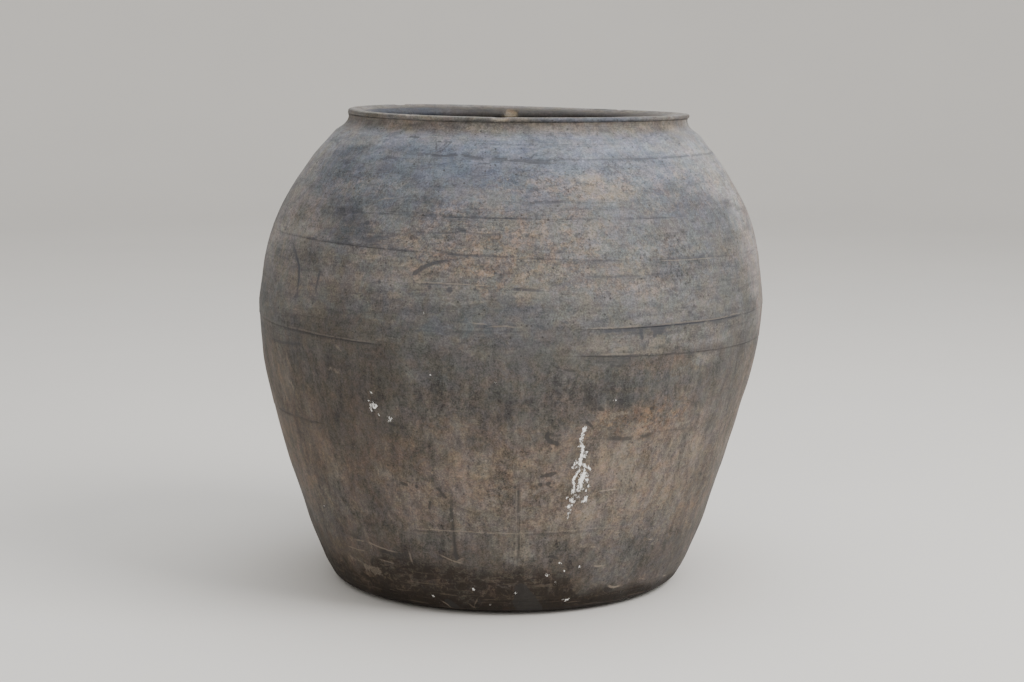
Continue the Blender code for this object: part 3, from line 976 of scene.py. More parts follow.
# %% Splashes of lime
LIME = [  # each stroke: degrees, mm, radius in mm
    [(17.0, 186.0, 2.6), (17.2, 187.6, 1.6)], [(16.8, 184, 1.2), (16.6, 174.5, 1.5)],
    [(16.7, 172.5, 0.9), (17.3, 168.7, 1.8), (17.3, 163.3, 1.3), (17.1, 157.2, 1.9),
     (17.1, 151.5, 1.8)],
    [(16.4, 171.5, 0.7), (16.1, 169.0, 0.6)], [(18.4, 164.0, 1.0), (17.8, 158.7, 1.6)],
    [(16.2, 156.5, 1.2), (15.4, 149.0, 1.0)], [(16.4, 153.6, 1.1), (16.3, 149.8, 1.0)],
    [(17.2, 148, 1.3), (16.5, 141, 1.5), (15.8, 137.5, 1.6), (16.3, 133.0, 1.3)],
    [(18.2, 150.5, 1.8), (18.5, 149.0, 1.8)], [(19.0, 149.6, 1.2), (19.9, 146.4, 1.1)],
    [(18.4, 146, 1.2), (18.2, 140, 2.8), (17.8, 135.7, 2.6), (18.1, 129.8, 1.7)],
    [(19.3, 142.0, 1.1), (19.4, 135.0, 1.4)], [(20.0, 130.0, 1.5)],
    [(19.6, 127.6, 0.8), (19.5, 125.0, 0.8)], [(16.4, 131.0, 1.2), (16.3, 125.0, 1.8)],
    [(17.3, 131.5, 1.0), (17.3, 126.0, 1.0)], [(18.5, 128.2, 1.4)], [(17.9, 126.4, 1.4)],
    [(17.0, 121.4, 1.4)], [(17.9, 119.8, 1.3)], [(15.0, 119.6, 1.2)],
    [(19.8, 120.0, 1.2), (19.6, 115.2, 1.8), (19.1, 115.2, 1.1)],
    [(16.2, 117.6, 1.9), (16.7, 115.6, 1.9)], [(15.5, 110.8, 1.7), (16.1, 111.4, 1.7)],
    [(15.9, 108.0, 0.9), (15.6, 100.0, 1.0)], [(-31.5, 199.4, 1.8)],
    [(-30.9, 201.0, 1.3), (-30.3, 202.4, 1.7), (-29.8, 204.6, 1.0)],
    [(-31.6, 204.0, 1.0), (-31.1, 200.8, 0.9)], [(-30.7, 205.0, 1.0), (-30.9, 202.2, 0.9)],
    [(-31.7, 207.5, 1.2)], [(-31.0, 215.3, 1.2)], [(-30.6, 207.6, 0.8)], [(-29.6, 195.3, 1.2)],
    [(-27.0, 193.6, 1.0), (-26.5, 191.8, 1.4), (-27.2, 189.6, 1.1)], [(-18.3, 291, 0.8)],
    [(-16.5, 236, 0.5)], [(-3, 231, 0.5)], [(23, 212, 0.4), (23.6, 212, 0.4)], [(-22.2, 17, 1.3)],
    [(-9.3, 28, 1.3)], [(11.6, 43.5, 1.3)], [(14.4, 35, 1.1)], [(15, 55, 1.1)], [(16.5, 47, 1.0)],
    [(20.8, 49.5, 1.1)], [(17.8, 16.2, 0.9), (18.6, 14.6, 1.2), (19.6, 16.4, 1.1)],
    [(-57.0, 91.0, 0.5)], [(-13.8, 97.0, 0.5)], [(3.0, 26.0, 0.9)], [(-4.5, 12.0, 0.8)],
    [(150, 210, 2.0), (150.4, 204, 1.2)], [(162, 150, 1.4)], [(165, 138, 1.1)],
    [(-128, 120, 1.5)], [(-126, 112, 1.0), (-125.8, 104, 1.2)], [(104, 96, 1.3)],
    [(-170, 60, 1.2)],
]
print("splashes of lime:", len(LIME))

# %% [markdown]
# Dark smears are soot that was carried up on fingers and cloths, and the hatch marks under the collar.
# Those just under the belly ledge on the right are dark slate skin deepened with painted shade under
# the ledge.

# %% Dark smears
DARK_SMEARS = [
    [(-25.4, 437.0, 0.2), (-22.0, 438.4, 0.5), (-19.2, 438.0, 0.2)],
    [(-19.6, 437.6, 0.6), (-21.8, 429, 0.5)], [(-21.0, 437, 0.5), (-22.4, 432, 0.6)],
    [(-22.4, 437.4, 0.3), (-23.8, 433, 0.6)], [(-24.2, 437, 0.3), (-23.4, 431.4, 0.4)],
    [(-34, 441, 0.9), (-31, 440.4, 0.8)],
    [(-21, 325.5, 2.0), (-19.5, 330, 2.0), (-17.5, 334, 1.6), (-14.5, 337, 0.8),
     (-11, 339.5, 0.3)],
    [(-35.4, 366, 1.8)],
    [(-13.7, 108, 1.2), (-13.5, 96, 0.6), (-13.6, 78, 0.9), (-13.3, 64, 1.0), (-13, 57, 0.5)],
    [(-53.6, 296, 0.3), (-53.4, 308, 0.9), (-54.2, 322, 1.2), (-56.5, 331, 0.9),
     (-59.6, 341, 0.3)],
    [(-46.4, 322, 0.5), (-46.8, 308, 1.0), (-47, 300, 0.4)],
    [(-12.2, 364.5, 1.6), (-10.8, 363, 1.2)],
    # The smears at 28 to 34 degrees and 267 to 277 mm are dark slate skin deepened with painted shade under
    # the belly ledge.
    [(30.8, 275.5, 2.4), (33.4, 276.5, 2.6), (32.6, 272, 2.6)],
    [(31.6, 273, 3.0), (31.2, 268.5, 1.8)], [(27.8, 275, 1.3), (28.2, 267, 1.1)],
    [(8.9, 184, 1.4), (8.6, 179.5, 1.7), (9.6, 175.4, 2.2), (11.0, 173.4, 2.4)],
    [(8.8, 142.2, 1.6), (10.2, 143.6, 1.9), (11.4, 145.0, 1.2)], [(8.0, 134, 2.2)],
    [(9.9, 134.4, 2.3)], [(10.6, 130.8, 1.0)], [(-27.0, 188.0, 1.4), (-25.8, 187.0, 1.7)],
    [(-22, 128.5, 1.7)], [(-25.8, 131, 1.6), (-24.6, 129.6, 1.0)], [(-56, 111, 1.9)],
    [(-57.6, 88.6, 1.3)], [(-46.4, 245, 0.9)], [(-12.6, 241, 1.1)], [(-8.8, 243.6, 1.0)],
    [(20, 205, 1.8), (20.8, 203.4, 1.2)], [(17.6, 192, 1.6), (18.6, 189, 1.3)],
    [(-15, 120, 1.8), (-16.6, 128, 1.2)], [(-19, 114, 1.3), (-19.4, 108, 1.0)],
    [(-3.5, 327, 1.3)], [(1.6, 391, 0.9)], [(30.5, 196, 1.8)], [(33, 201, 1.5)],
    [(34.6, 191, 1.3)], [(28.0, 199, 1.1)], [(23.0, 240, 1.4)],
    [(21.5, 244.5, 1.6), (23.5, 243.6, 1.0)], [(-29, 316, 1.5)], [(-13, 312, 2.6)],
    [(-17.4, 314, 1.5)], [(-21, 318, 1.2)], [(-7.6, 313, 1.8)],
    [(4.6, 30, 6.0), (6.0, 16, 11.0), (8.0, 6, 11.0)], [(-17.5, 13, 3.0), (-15.5, 8, 3.5)],
    [(-32, 56, 1.6)], [(12.5, 62, 1.8), (14.0, 60, 1.4)],
    [(160, 330, 1.8), (166, 334, 1.4), (171, 336, 0.8)], [(-140, 250, 2.0)],
    [(120, 150, 2.0), (121, 143, 1.4)], [(-104, 130, 1.8)], [(140, 260, 1.6)], [(-160, 200, 1.7)],
    [(175, 96, 1.6)],
]
print("dark smears:", len(DARK_SMEARS))

# %% [markdown]
# Bare patches are places where the smoke skin has flaked off and the buff clay shows.

# %% Bare patches
BARE_PATCHES = [
    [(30.8, 262, 4.4), (33.6, 262.8, 4.2)],
    [(27, 255.2, 1.8), (31, 255, 2.2), (34.6, 256.4, 1.4)], [(36.2, 263.5, 1.4)],
    [(45, 246, 3.0), (48, 240, 3.2)], [(-42, 233.5, 1.8), (-39.6, 231, 1.6)],
    [(17, 399, 3.0), (20, 396, 3.4)], [(24, 397, 3.0), (27, 394, 2.6)],
    [(11, 409, 2.6), (14, 406, 3.0)], [(18, 409, 2.6), (23, 407, 2.4)],
    [(-45, 37, 4.0), (-40, 35, 3.4)], [(-50, 43, 2.6), (-46, 41, 2.6)],
    [(3, 68, 3.4), (5, 72, 3.6)], [(6.4, 97, 3.0), (8.2, 92, 2.6)],
    [(23, 197, 2.6), (27, 199, 2.4)], [(30, 186, 2.6), (34, 187, 2.0)], [(-12.5, 284, 2.4)],
    [(-26, 306, 2.6), (-22, 304, 2.2)], [(55, 338, 3.0), (54.6, 342, 2.0)],
    [(-40, 256, 1.6), (-38, 251, 1.4)], [(22, 258, 2.2), (25, 259, 1.8)],
    [(42, 181, 2.4), (46, 182, 2.0)], [(-60, 216, 2.4), (-58, 206, 2.0)],
    [(20, 70, 2.2), (23, 72, 2.0)], [(-20, 88, 2.0), (-17, 86, 1.6)],
    [(36, 90, 2.4), (39, 92, 2.0)], [(150, 398, 3.0), (156, 396, 3.2)],
    [(170, 190, 4.0), (174, 186, 4.4)], [(-148, 256, 3.0), (-143, 255, 2.4)],
    [(-120, 44, 3.6), (-114, 40, 3.4)], [(110, 262, 2.6), (113, 261, 2.0)],
    [(-170, 300, 3.4), (-166, 298, 3.0)],
]
print("bare patches:", len(BARE_PATCHES))

# %% [markdown]
# Now every piece is painted. Beside the colour, each point keeps a few plain numbers that the material
# reads later. Two small helpers store them on the mesh, one for a number and one for a colour.

# %% Keep what was painted
def keep_value(piece, name, values):
    layer = piece.data.attributes.new(name, "FLOAT", "POINT")
    layer.data.foreach_set("value", np.asarray(values, dtype=np.float32))


def keep_colour(piece, name, colour):
    layers = piece.data.color_attributes
    layer = layers.get(name) or layers.new(name, "FLOAT_COLOR", "POINT")
    opaque = np.column_stack([colour, np.ones(len(colour))])
    layer.data.foreach_set("color", opaque.astype(np.float32).ravel())


print("painted numbers and colours can be kept on a mesh")

# %% [markdown]
# The inside of the wall never saw the flame, so it stays a dull brown grey, and is smoke-black on the
# left, where the lip and the collar sheltered it.

# %% The colour inside the jar
INSIDE_CLAY = np.array([0.085, 0.078, 0.072])
INSIDE_SMOKE = np.array([0.030, 0.032, 0.038])


def inside_colour(degrees):
    smoked = fade(np.sin(np.radians(degrees)), 0.25, -0.45)[:, None]
    return INSIDE_CLAY + (INSIDE_SMOKE - INSIDE_CLAY) * smoked


print("inside, right and left:", inside_colour(np.array([90.0, -90.0])).round(3).tolist())

# %% [markdown]
# Four shares go beside the colour: how sandy the skin is where it has worn off, how thick the smoke film
# lies, whether the wall was wiped level (the shoulder) or scraped upright (the lower wall), and how much
# soot is on the foot. The top of the soot climbs and falls round the jar.

# %% The shares that the clay reads
SANDY = [  # middle, level, half width, half height, share
    (0, 352, 34, 42, 1.0), (14, 400, 24, 14, 1.0), (46, 392, 22, 26, 0.8), (28, 330, 24, 26, 0.7),
    (-46, 398, 16, 14, 0.7), (32, 190, 14, 26, 0.9), (38, 238, 10, 12, 0.45), (50, 90, 26, 40, 0.4),
    (0, 150, 40, 60, 0.3), (170, 360, 40, 40, 0.9), (-140, 200, 30, 40, 0.6), (100, 380, 30, 30, 0.6),
]
SOOT_TOP = [  # degrees from the front, height in mm
    (-180, 40), (-110, 34), (-70, 40), (-50, 30), (-36, 52), (-20, 50), (0, 46), (14, 44),
    (24, 26), (40, 14), (60, 8), (90, 12), (140, 36), (180, 44),
]
SOOT_EDGE = 8                # half the width of the soot's soft upper edge, in mm


def keep_shares(piece, degrees, height, outside):
    turn = np.radians(degrees - 90)
    sandy = np.zeros(len(height))
    for k, (middle, level, wide, tall, share) in enumerate(SANDY):
        worn = patch(degrees, height, middle, level, wide, tall, 400 + 2 * k)
        sandy = np.maximum(sandy, share * worn)
    keep_value(piece, "sandy", sandy * outside)
    smoke = patch(degrees, height, -2, 424, 34, 20, 440, 0.2) + 0.6 * fade(height, 395, 425)
    keep_value(piece, "smoke", np.clip(smoke, 0, 1) * outside)
    keep_value(piece, "wiped", fade(height, 225, 275) * outside)
    soot_top = np.interp(degrees, [a for a, h in SOOT_TOP], [h for a, h in SOOT_TOP])
    ragged = 7 * soft_noise(turn, height, 18, 400, 450) + 3 * soft_noise(turn, height, 7, 12, 451)
    clean = fade(height - ragged, soot_top - SOOT_EDGE, soot_top + SOOT_EDGE)
    keep_value(piece, "soot", (1 - clean) * outside)


print("sandy places:", len(SANDY))

# %% [markdown]
# With the washes, the strokes, the brush and the shares ready, one function paints a piece, and the same
# function paints them all, so that the colour runs on from piece to piece without a step.

# %% Paint every piece
def paint(piece):
    degrees, height, outside = skin(piece.name)
    inner = inside_colour(degrees)
    out_share = fade(outside, 0.4, 0.95)[:, None]
    keep_colour(piece, "wash", inner + (lay_washes(piece.name) - inner) * out_share)
    ink, ink_force = nearest_stroke(piece.name, DARK_LINES)
    keep_value(piece, "ink", ink)
    keep_value(piece, "ink_force", ink_force)
    chalk, chalk_force = nearest_stroke(piece.name, PALE_LINES, seed=310)
    keep_value(piece, "chalk", chalk)
    keep_value(piece, "chalk_force", chalk_force)
    keep_value(piece, "lime", brush_depth(piece.name, LIME))
    keep_value(piece, "smear", brush_depth(piece.name, DARK_SMEARS, 0.5, 330))
    keep_value(piece, "bare", brush_depth(piece.name, BARE_PATCHES, 1.6, 340))
    keep_shares(piece, degrees, height, outside)
    return len(height)


total = sum(paint(piece) for piece in pieces.values())
print("points painted:", total)

# %% [markdown]
# The lip was handled more than any other part. Its flat top is worn to a pale grey, with a painted
# highlight on its right side and on its worn outer corner. Its outer edge is blue grey where the smoke
# still holds, and its inner edge turns blue-black on the far left, where the fire licked out of the mouth.
# The inner part of the far side and the underside of the lip are painted shade. Each place on the lip is
# first described as a share from 0 to 1.

# %% The places on the lip
degrees, height = skin(lip.name)[:2]
turn = np.radians(degrees - 90)
top = fade(height, 456.5, 458.0)
outer = fade(lip_radius, 164.6, 165.8)
inner = fade(150.0 - lip_radius, 0, 3) * fade(456.5 - height, 0, 1.5)
# The underside of the lip is painted shade.
under_lip_shade = fade(450.0 - height, 0, 2.5)
far_side = fade(-np.cos(np.radians(degrees)), 0.15, 0.85)
# The inner part of the lip's far side is painted shade, deepest at its inner edge.
far_shade = far_side * fade(161.0 - lip_radius, 0, 9)
far_deep_shade = far_side * fade(152.0 - lip_radius, 0, 5)
# The right side of the flat top gets a painted highlight.
right_top_highlight = patch(degrees, height, 84, 458, 26, 12, 480, 0.2)
smoked_edge = patch(degrees, height, 24, 458, 20, 12, 460, 0.2)
# The outer corner of the top is worn and carries a painted highlight.
worn_edge_and_highlight = fade(height, 459.2, 460.0) * fade(lip_radius, 160.5, 163.0)
fire_mark = patch(degrees, height, -122, 452, 34, 14, 470, 0.3)
scorched = fade(153.5 - lip_radius, 0, 4)
print("share of the lip that is flat top:", round(float(top.mean()), 2))

# %% [markdown]
# The chip on the far side shows the brown of the clay. Its patch is round and its edge is pulled about
# by a fine noise, because a break follows the grain.

# %% The fresh break in the lip
BREAK_TURN, BREAK_HEIGHT = -177.3, 449.0
BREAK_HALF_TURN, BREAK_HALF_HEIGHT = 3.8, 8.5
from_chip = np.hypot(((degrees - BREAK_TURN + 180) % 360 - 180) / BREAK_HALF_TURN,
                     (height - BREAK_HEIGHT) / BREAK_HALF_HEIGHT)
fresh_break = 1 - fade(from_chip + 0.35 * soft_noise(turn, height, 6, 4, 490), 0.55, 1.1)
fresh_break = fresh_break * fade(158.0 - lip_radius, 0, 3)
print("points in the break:", int((fresh_break > 0.5).sum()))

# %% [markdown]
# Then the coats go on in order, each towards its own colour by its own share, and small worn places on
# the outer edge come last.

# %% Paint the lip
LIP_CLAY = (0.120, 0.112, 0.104)
LIP_COATS = [  # colour, share
    ((0.158, 0.146, 0.134), top),
    ((0.062, 0.053, 0.046), far_shade),
    ((0.034, 0.028, 0.025), far_deep_shade),
    ((0.250, 0.236, 0.220), 0.7 * right_top_highlight * top),
    ((0.108, 0.097, 0.088), outer),
    ((0.074, 0.078, 0.092), np.clip(outer * smoked_edge, 0, 1)),
    ((0.200, 0.186, 0.168), 0.55 * worn_edge_and_highlight),
    ((0.105, 0.097, 0.090), inner * (1 - far_side)),
    ((0.036, 0.039, 0.052), 0.9 * fire_mark * scorched),
    ((0.026, 0.024, 0.023), under_lip_shade),
    ((0.150, 0.115, 0.078), 0.85 * fresh_break),
]
EDGE_WEAR = [  # degrees from the front, half width in degrees, colour
    (-6, 3.0, (0.230, 0.195, 0.160)), (-56, 5.0, (0.080, 0.066, 0.054)),
    (-30, 3.0, (0.160, 0.140, 0.118)), (96, 3.0, (0.170, 0.140, 0.110)),
    (-132, 3.4, (0.170, 0.140, 0.110)),
]
for middle, wide, target in EDGE_WEAR:
    near = 1 - fade(np.abs((degrees - middle + 180) % 360 - 180) / wide, 0.7, 1.1)
    LIP_COATS.append((target, 0.8 * near * outer))
lip_colour = np.tile(np.array(LIP_CLAY), (len(height), 1))
for target, share in LIP_COATS:
    lip_colour = lip_colour + (np.array(target) - lip_colour) * share[:, None]
keep_colour(lip, "wash", lip_colour)
print("lip colours from", lip_colour.min(axis=0).round(3), "to", lip_colour.max(axis=0).round(3))

# %% [markdown]
# The clay itself is one material, because all the sections are one fired body. It is built from small
# steps, so a little bench of helpers comes first: it keeps the node tree and gives each step a short
# name. The first helpers work with plain numbers: they plug a number or a socket in, add, multiply,
# and turn a value softly from 0 to 1.

# %% A bench for numbers
class Bench:
    """A material's node tree, with a short word for each step of building it."""

    def __init__(self, name):
        self.material = bpy.data.materials.new(name)
        self.material.use_nodes = True
        self.tree = self.material.node_tree
        self.shader = self.tree.nodes["Principled BSDF"]
        self.place = self.tree.nodes.new("ShaderNodeTexCoord").outputs["Object"]

    def plug(self, value, socket):
        if isinstance(value, bpy.types.NodeSocket):
            self.tree.links.new(value, socket)
        else:
            socket.default_value = value

    def attribute(self, name, output="Fac"):
        node = self.tree.nodes.new("ShaderNodeAttribute")
        node.attribute_name = name
        return node.outputs[output]

    def maths(self, operation, first, second=0.0, clamp=False):
        node = self.tree.nodes.new("ShaderNodeMath")
        node.operation = operation
        node.use_clamp = clamp
        self.plug(first, node.inputs[0])
        self.plug(second, node.inputs[1])
        return node.outputs[0]

    def add(self, first, second):
        return self.maths("ADD", first, second)

    def less(self, first, second):
        return self.maths("SUBTRACT", first, second)

    def times(self, first, *others):
        for other in others:
            first = self.maths("MULTIPLY", first, other)
        return first

    def step(self, value, start, end):
        """0 at start, 1 at end, soft between."""
        node = self.tree.nodes.new("ShaderNodeMapRange")
        node.interpolation_type = "SMOOTHSTEP"
        for socket, given in zip(("Value", "From Min", "From Max"), (value, start, end)):
            self.plug(given, node.inputs[socket])
        return node.outputs["Result"]


print("the bench works with numbers")

# %% [markdown]
# The next helpers make the grain. Sizes are in millimetres, because that is how a maker thinks of grain,
# and a size may differ along x, y and z: a noise that is flat in z makes level streaks, and one that is
# tall makes upright ones.

# %% The bench learns to make grain
class GrainBench(Bench):
    """A bench that can also make noise and grains of a true size."""

    def stretched(self, size):
        """The place on the object, counted in lumps of the given size in mm."""
        node = self.tree.nodes.new("ShaderNodeVectorMath")
        node.operation = "MULTIPLY"
        self.plug(self.place, node.inputs[0])
        node.inputs[1].default_value = [1000.0 / s for s in size]
        return node.outputs[0]

    def noise(self, size, detail=3.0, rough=0.55, warp=0.0):
        """Soft noise of about 0.5, with lumps of one size or of a size along x, y and z."""
        size = size if isinstance(size, tuple) else (size, size, size)
        node = self.tree.nodes.new("ShaderNodeTexNoise")
        self.plug(self.stretched(size), node.inputs["Vector"])
        node.inputs["Scale"].default_value = 1.0
        node.inputs["Detail"].default_value = detail
        node.inputs["Roughness"].default_value = rough
        node.inputs["Distortion"].default_value = warp
        return node.outputs["Fac"]

    def grains(self, size):
        """Distance from the middle of the nearest grain, and a random number for that grain."""
        node = self.tree.nodes.new("ShaderNodeTexVoronoi")
        self.plug(self.stretched((size, size, size)), node.inputs["Vector"])
        node.inputs["Scale"].default_value = 1.0
        parts = self.tree.nodes.new("ShaderNodeSeparateColor")
        self.plug(node.outputs["Color"], parts.inputs[0])
        return node.outputs["Distance"], parts.outputs[0]

    def swing(self, noise, strength):
        """A noise of about 0.5 as a swing to both sides of 0."""
        return self.times(self.less(noise, 0.5), strength)

    def tone(self, *layers):
        """Adds up layers of (noise, strength) round 1."""
        total = 1.0
        for noise, strength in layers:
            total = self.add(total, self.swing(noise, strength))
        return total

    def blend(self, share, first, second):
        """The first value at share 0 and the second at share 1."""
        node = self.tree.nodes.new("ShaderNodeMix")
        for k, given in ((0, share), (2, first), (3, second)):
            self.plug(given, node.inputs[k])
        return node.outputs[0]


print("the bench can make grain")

# %% [markdown]
# The last helpers lay colour over colour and press the relief into the surface. A tint multiplies the
# colour that is already there, as a film of smoke does, and a mix covers it, as soot or lime does.

# %% The bench learns to paint
class PaintBench(GrainBench):
    """A bench that can also lay colours and relief."""

    def mix(self, share, base, over, blend="MIX"):
        node = self.tree.nodes.new("ShaderNodeMix")
        node.data_type = "RGBA"
        node.blend_type = blend
        for k, given in ((0, share), (6, base), (7, over)):
            given = (*given, 1.0) if isinstance(given, tuple) else given
            self.plug(given, node.inputs[k])
        return node.outputs[2]

    def times_colour(self, colour, factors):
        return self.mix(1.0, colour, factors, "MULTIPLY")

    def tint(self, share, colour, factors):
        """The colour, multiplied by the factors where the share is 1."""
        return self.mix(share, colour, self.times_colour(colour, factors))

    def shade(self, colour, tone):
        """The colour made lighter or darker by a number near 1."""
        node = self.tree.nodes.new("ShaderNodeVectorMath")
        node.operation = "SCALE"
        self.plug(colour, node.inputs[0])
        self.plug(tone, node.inputs["Scale"])
        return node.outputs[0]

    def bump(self, height, millimetres):
        node = self.tree.nodes.new("ShaderNodeBump")
        node.inputs["Distance"].default_value = millimetres * MM
        self.plug(height, node.inputs["Height"])
        self.plug(node.outputs["Normal"], self.shader.inputs["Normal"])


print("the bench can paint")

# %% [markdown]
# The clay was dug, not bought: it is full of sand, so the fired skin has a fine tooth. Its layers go on
# one over the other: light and dark, warm and cool, stains and the path of the hand, sand, smoke and
# soot, worn patches, scored lines and, last, the splashes of lime wash. Light and dark come from
# clouds, mottle, pebbles and grit, and from streaks that lie level where the wall was wiped and upright
# where it was scraped. Some places are calm and others busy, as on any wall that was beaten by hand.

# %% The clay's light and dark
CLOUD, MOTTLE, PEBBLE, GRIT = 46, 13, 4.5, 1.5      # sizes in mm
bench = PaintBench("smoked jar clay")
wash = bench.attribute("wash", "Color")
wiped = bench.attribute("wiped")
sandy = bench.attribute("sandy")
smoke = bench.attribute("smoke")
soot = bench.attribute("soot")
cloud = bench.noise(CLOUD, 3, 0.5, 0.4)
mottle = bench.noise(MOTTLE, 4, 0.62, 0.5)
pebble = bench.noise(PEBBLE, 3, 0.6)
grit = bench.noise(GRIT, 3, 0.65)
level_streak = bench.swing(bench.noise((70, 70, 2.6), 3, 0.6), wiped)
upright_streak = bench.swing(bench.noise((7, 7, 60), 4, 0.65), bench.less(1.0, wiped))
streak = bench.add(bench.times(level_streak, 0.35), upright_streak)
streak = bench.add(streak, 0.5)
broad_low = bench.add(bench.times(bench.noise((26, 26, 80), 3, 0.55), 1.4), -0.2)
broad = bench.blend(wiped, broad_low, bench.noise((110, 110, 18), 3, 0.55))
busy = bench.add(bench.times(bench.noise(70, 2, 0.5), 2.4), -0.2)
busy_mottle = bench.add(bench.swing(mottle, busy), 0.5)
busy_pebble = bench.add(bench.swing(pebble, busy), 0.5)
tone = bench.tone((cloud, 0.60), (broad, 0.80), (busy_mottle, 0.85), (busy_pebble, 1.2),
                  (grit, 2.2), (streak, 1.15))
contrast = bench.less(1.10, bench.times(wiped, 0.1))
tone = bench.add(bench.times(bench.less(tone, 1.0), contrast), 1.0)
colour = bench.shade(wash, tone)
print("steps in the clay so far:", len(bench.tree.nodes))

# %% [markdown]
# Fired clay is never one hue. Iron makes it warmer and cooler in clouds, and wood smoke leaves an olive
# cast in some places, while the bare clay has a faint pink one. These tints are slight, and without them
# the grey looks like paint.

# %% The clay's warm and cool clouds
WARM, COOL = (1.055, 1.0, 0.945), (0.96, 1.0, 1.05)
OLIVE, PINK = (0.985, 1.022, 0.965), (1.015, 0.982, 1.010)
warmth = bench.step(bench.noise(15, 5, 0.68, 0.6), 0.42, 0.60)
colour = bench.mix(warmth, bench.times_colour(colour, COOL), bench.times_colour(colour, WARM))
olive_share = bench.step(bench.noise(17, 5, 0.72, 0.5), 0.40, 0.60)
colour = bench.mix(olive_share, bench.times_colour(colour, PINK), bench.times_colour(colour, OLIVE))
print("steps in the clay so far:", len(bench.tree.nodes))

# %% [markdown]
# Old stains are dark and pale blotches, taller than wide where the wall was scraped upright. Over them
# lies the path of the hand: broad dark streaks, and fine score marks from grit under the palm, upright
# on the lower wall and level on the shoulder. One helper makes each pair from two noises.

# %% Stains and the path of the hand
DARK_STAIN, PALE_STAIN = (0.66, 0.68, 0.72), (1.32, 1.27, 1.21)
DARK_WIPE, DARK_SCORE = (0.68, 0.70, 0.75), (0.60, 0.62, 0.66)
LOW_WIPE, HIGH_WIPE = (8, 8, 60), (90, 90, 6.5)           # sizes in mm along x, y and z
LOW_SCORE, HIGH_SCORE = (2.2, 2.2, 60), (100, 100, 1.8)


def hand_path(low_size, high_size, start, end, *grain):
    """Streaks of one size on the scraped wall and of another on the wiped shoulder."""
    low_path = bench.step(bench.noise(low_size, *grain), start, end)
    high_path = bench.step(bench.noise(high_size, *grain), start, end)
    return bench.blend(wiped, low_path, high_path)


stain = bench.blend(wiped, bench.noise((12, 12, 26), 5, 0.70, 0.8),
                    bench.noise((26, 26, 10), 5, 0.70, 0.8))
colour = bench.tint(bench.times(bench.step(stain, 0.53, 0.61), 0.72), colour, DARK_STAIN)
colour = bench.tint(bench.times(bench.step(stain, 0.47, 0.38), 0.65), colour, PALE_STAIN)
wipe = bench.times(hand_path(LOW_WIPE, HIGH_WIPE, 0.53, 0.60, 5, 0.70, 0.3), 0.48)
colour = bench.tint(wipe, colour, DARK_WIPE)
score = bench.times(hand_path(LOW_SCORE, HIGH_SCORE, 0.62, 0.68, 3, 0.6), busy, 0.40)
colour = bench.tint(score, colour, DARK_SCORE)
print("steps in the clay so far:", len(bench.tree.nodes))

# %% [markdown]
# Where the skin has worn, the clay shows buff islands between dark slate flecks. Sand adds small dark
# pits where a grain fell out and pale specks where one shows.

# %% The worn, sandy skin
BUFF_ISLAND = (1.48, 1.27, 1.10)
SLATE_FLECK, PIT_DARK, PALE_GRAIN = (0.043, 0.042, 0.046), (0.034, 0.031, 0.031), (0.28, 0.225, 0.175)
PIT_SIZE = 4.6                                            # room for each pit, in mm
island = bench.step(bench.noise(8.0, 5, 0.74, 0.4), 0.49, 0.56)
worn = bench.times(island, sandy, 0.85)
colour = bench.tint(worn, colour, BUFF_ISLAND)
fleck = bench.step(bench.noise((3.4, 3.4, 2.8), 4, 0.74, 0.6), 0.55, 0.61)
fleck = bench.times(fleck, bench.add(bench.times(sandy, 0.50), 0.20))
colour = bench.mix(fleck, colour, SLATE_FLECK)
pit_far, pit_pick = bench.grains(PIT_SIZE)
pit = bench.times(bench.step(pit_far, 0.28, 0.14), bench.step(pit_pick, 0.82, 0.86), 0.75)
colour = bench.mix(pit, colour, PIT_DARK)
grain = bench.step(bench.noise(2.1, 3, 0.7), 0.63, 0.70)
grain = bench.times(grain, bench.add(bench.times(sandy, 0.35), 0.16))
colour = bench.mix(grain, colour, PALE_GRAIN)
print("steps in the clay so far:", len(bench.tree.nodes))

# %% [markdown]
# Smoke lies over the shoulder as a thin blue-grey film in level streaks. At the foot the soot is a crust:
# it is broken up, and it is rubbed through in level scuffs where the jar was turned on the ground.

# %% The smoke film and the soot
SMOKE_FILM = (0.68, 0.73, 0.82)
SOOT_CRUST, RUBBED_CLAY = (0.017, 0.0125, 0.009), (0.098, 0.076, 0.057)
film = bench.step(bench.noise((60, 60, 6.5), 5, 0.68, 0.3), 0.42, 0.60)
colour = bench.tint(bench.times(film, smoke, 0.40), colour, SMOKE_FILM)
crust = bench.step(bench.noise((8, 8, 6), 5, 0.70, 0.5), 0.42, 0.54)
colour = bench.mix(bench.times(crust, soot, 0.78), colour, SOOT_CRUST)
rub = bench.step(bench.noise((34, 34, 2.2), 4, 0.7, 0.4), 0.58, 0.64)
colour = bench.mix(bench.times(rub, soot, 0.50), colour, RUBBED_CLAY)
print("steps in the clay so far:", len(bench.tree.nodes))

# %% [markdown]
# The bare patches and smears were painted as depths in millimetres. A fine noise, in millimetres too, is
# added to the depth before the cut, so that their edges come out ragged however close one looks.

# %% Bare patches and smears
BARE_CLAY = (0.205, 0.170, 0.132)
LOW_SMEAR, HIGH_SMEAR = (0.028, 0.026, 0.025), (0.037, 0.038, 0.045)
ragged = bench.swing(bench.noise(3.4, 4, 0.65), 9.0)
bare = bench.step(bench.add(bench.attribute("bare"), ragged), -0.4, 1.6)
bare = bench.times(bare, bench.add(bench.times(grit, 1.2), -0.22))
colour = bench.mix(bare, colour, BARE_CLAY)
smear = bench.step(bench.add(bench.attribute("smear"), bench.times(ragged, 0.24)), -0.8, 0.4)
smear_colour = bench.mix(wiped, LOW_SMEAR, HIGH_SMEAR)
colour = bench.mix(bench.times(smear, 0.78), colour, smear_colour)
print("steps in the clay so far:", len(bench.tree.nodes))

# %% [markdown]
# A scored line is cut where the kept distance to the stroke is near zero. Each dark line has a hard
# cut and a soft halo of dirt, it shakes a little, and it is broken here and there. A pale line is a
# scrape through the smoke skin and has no halo.

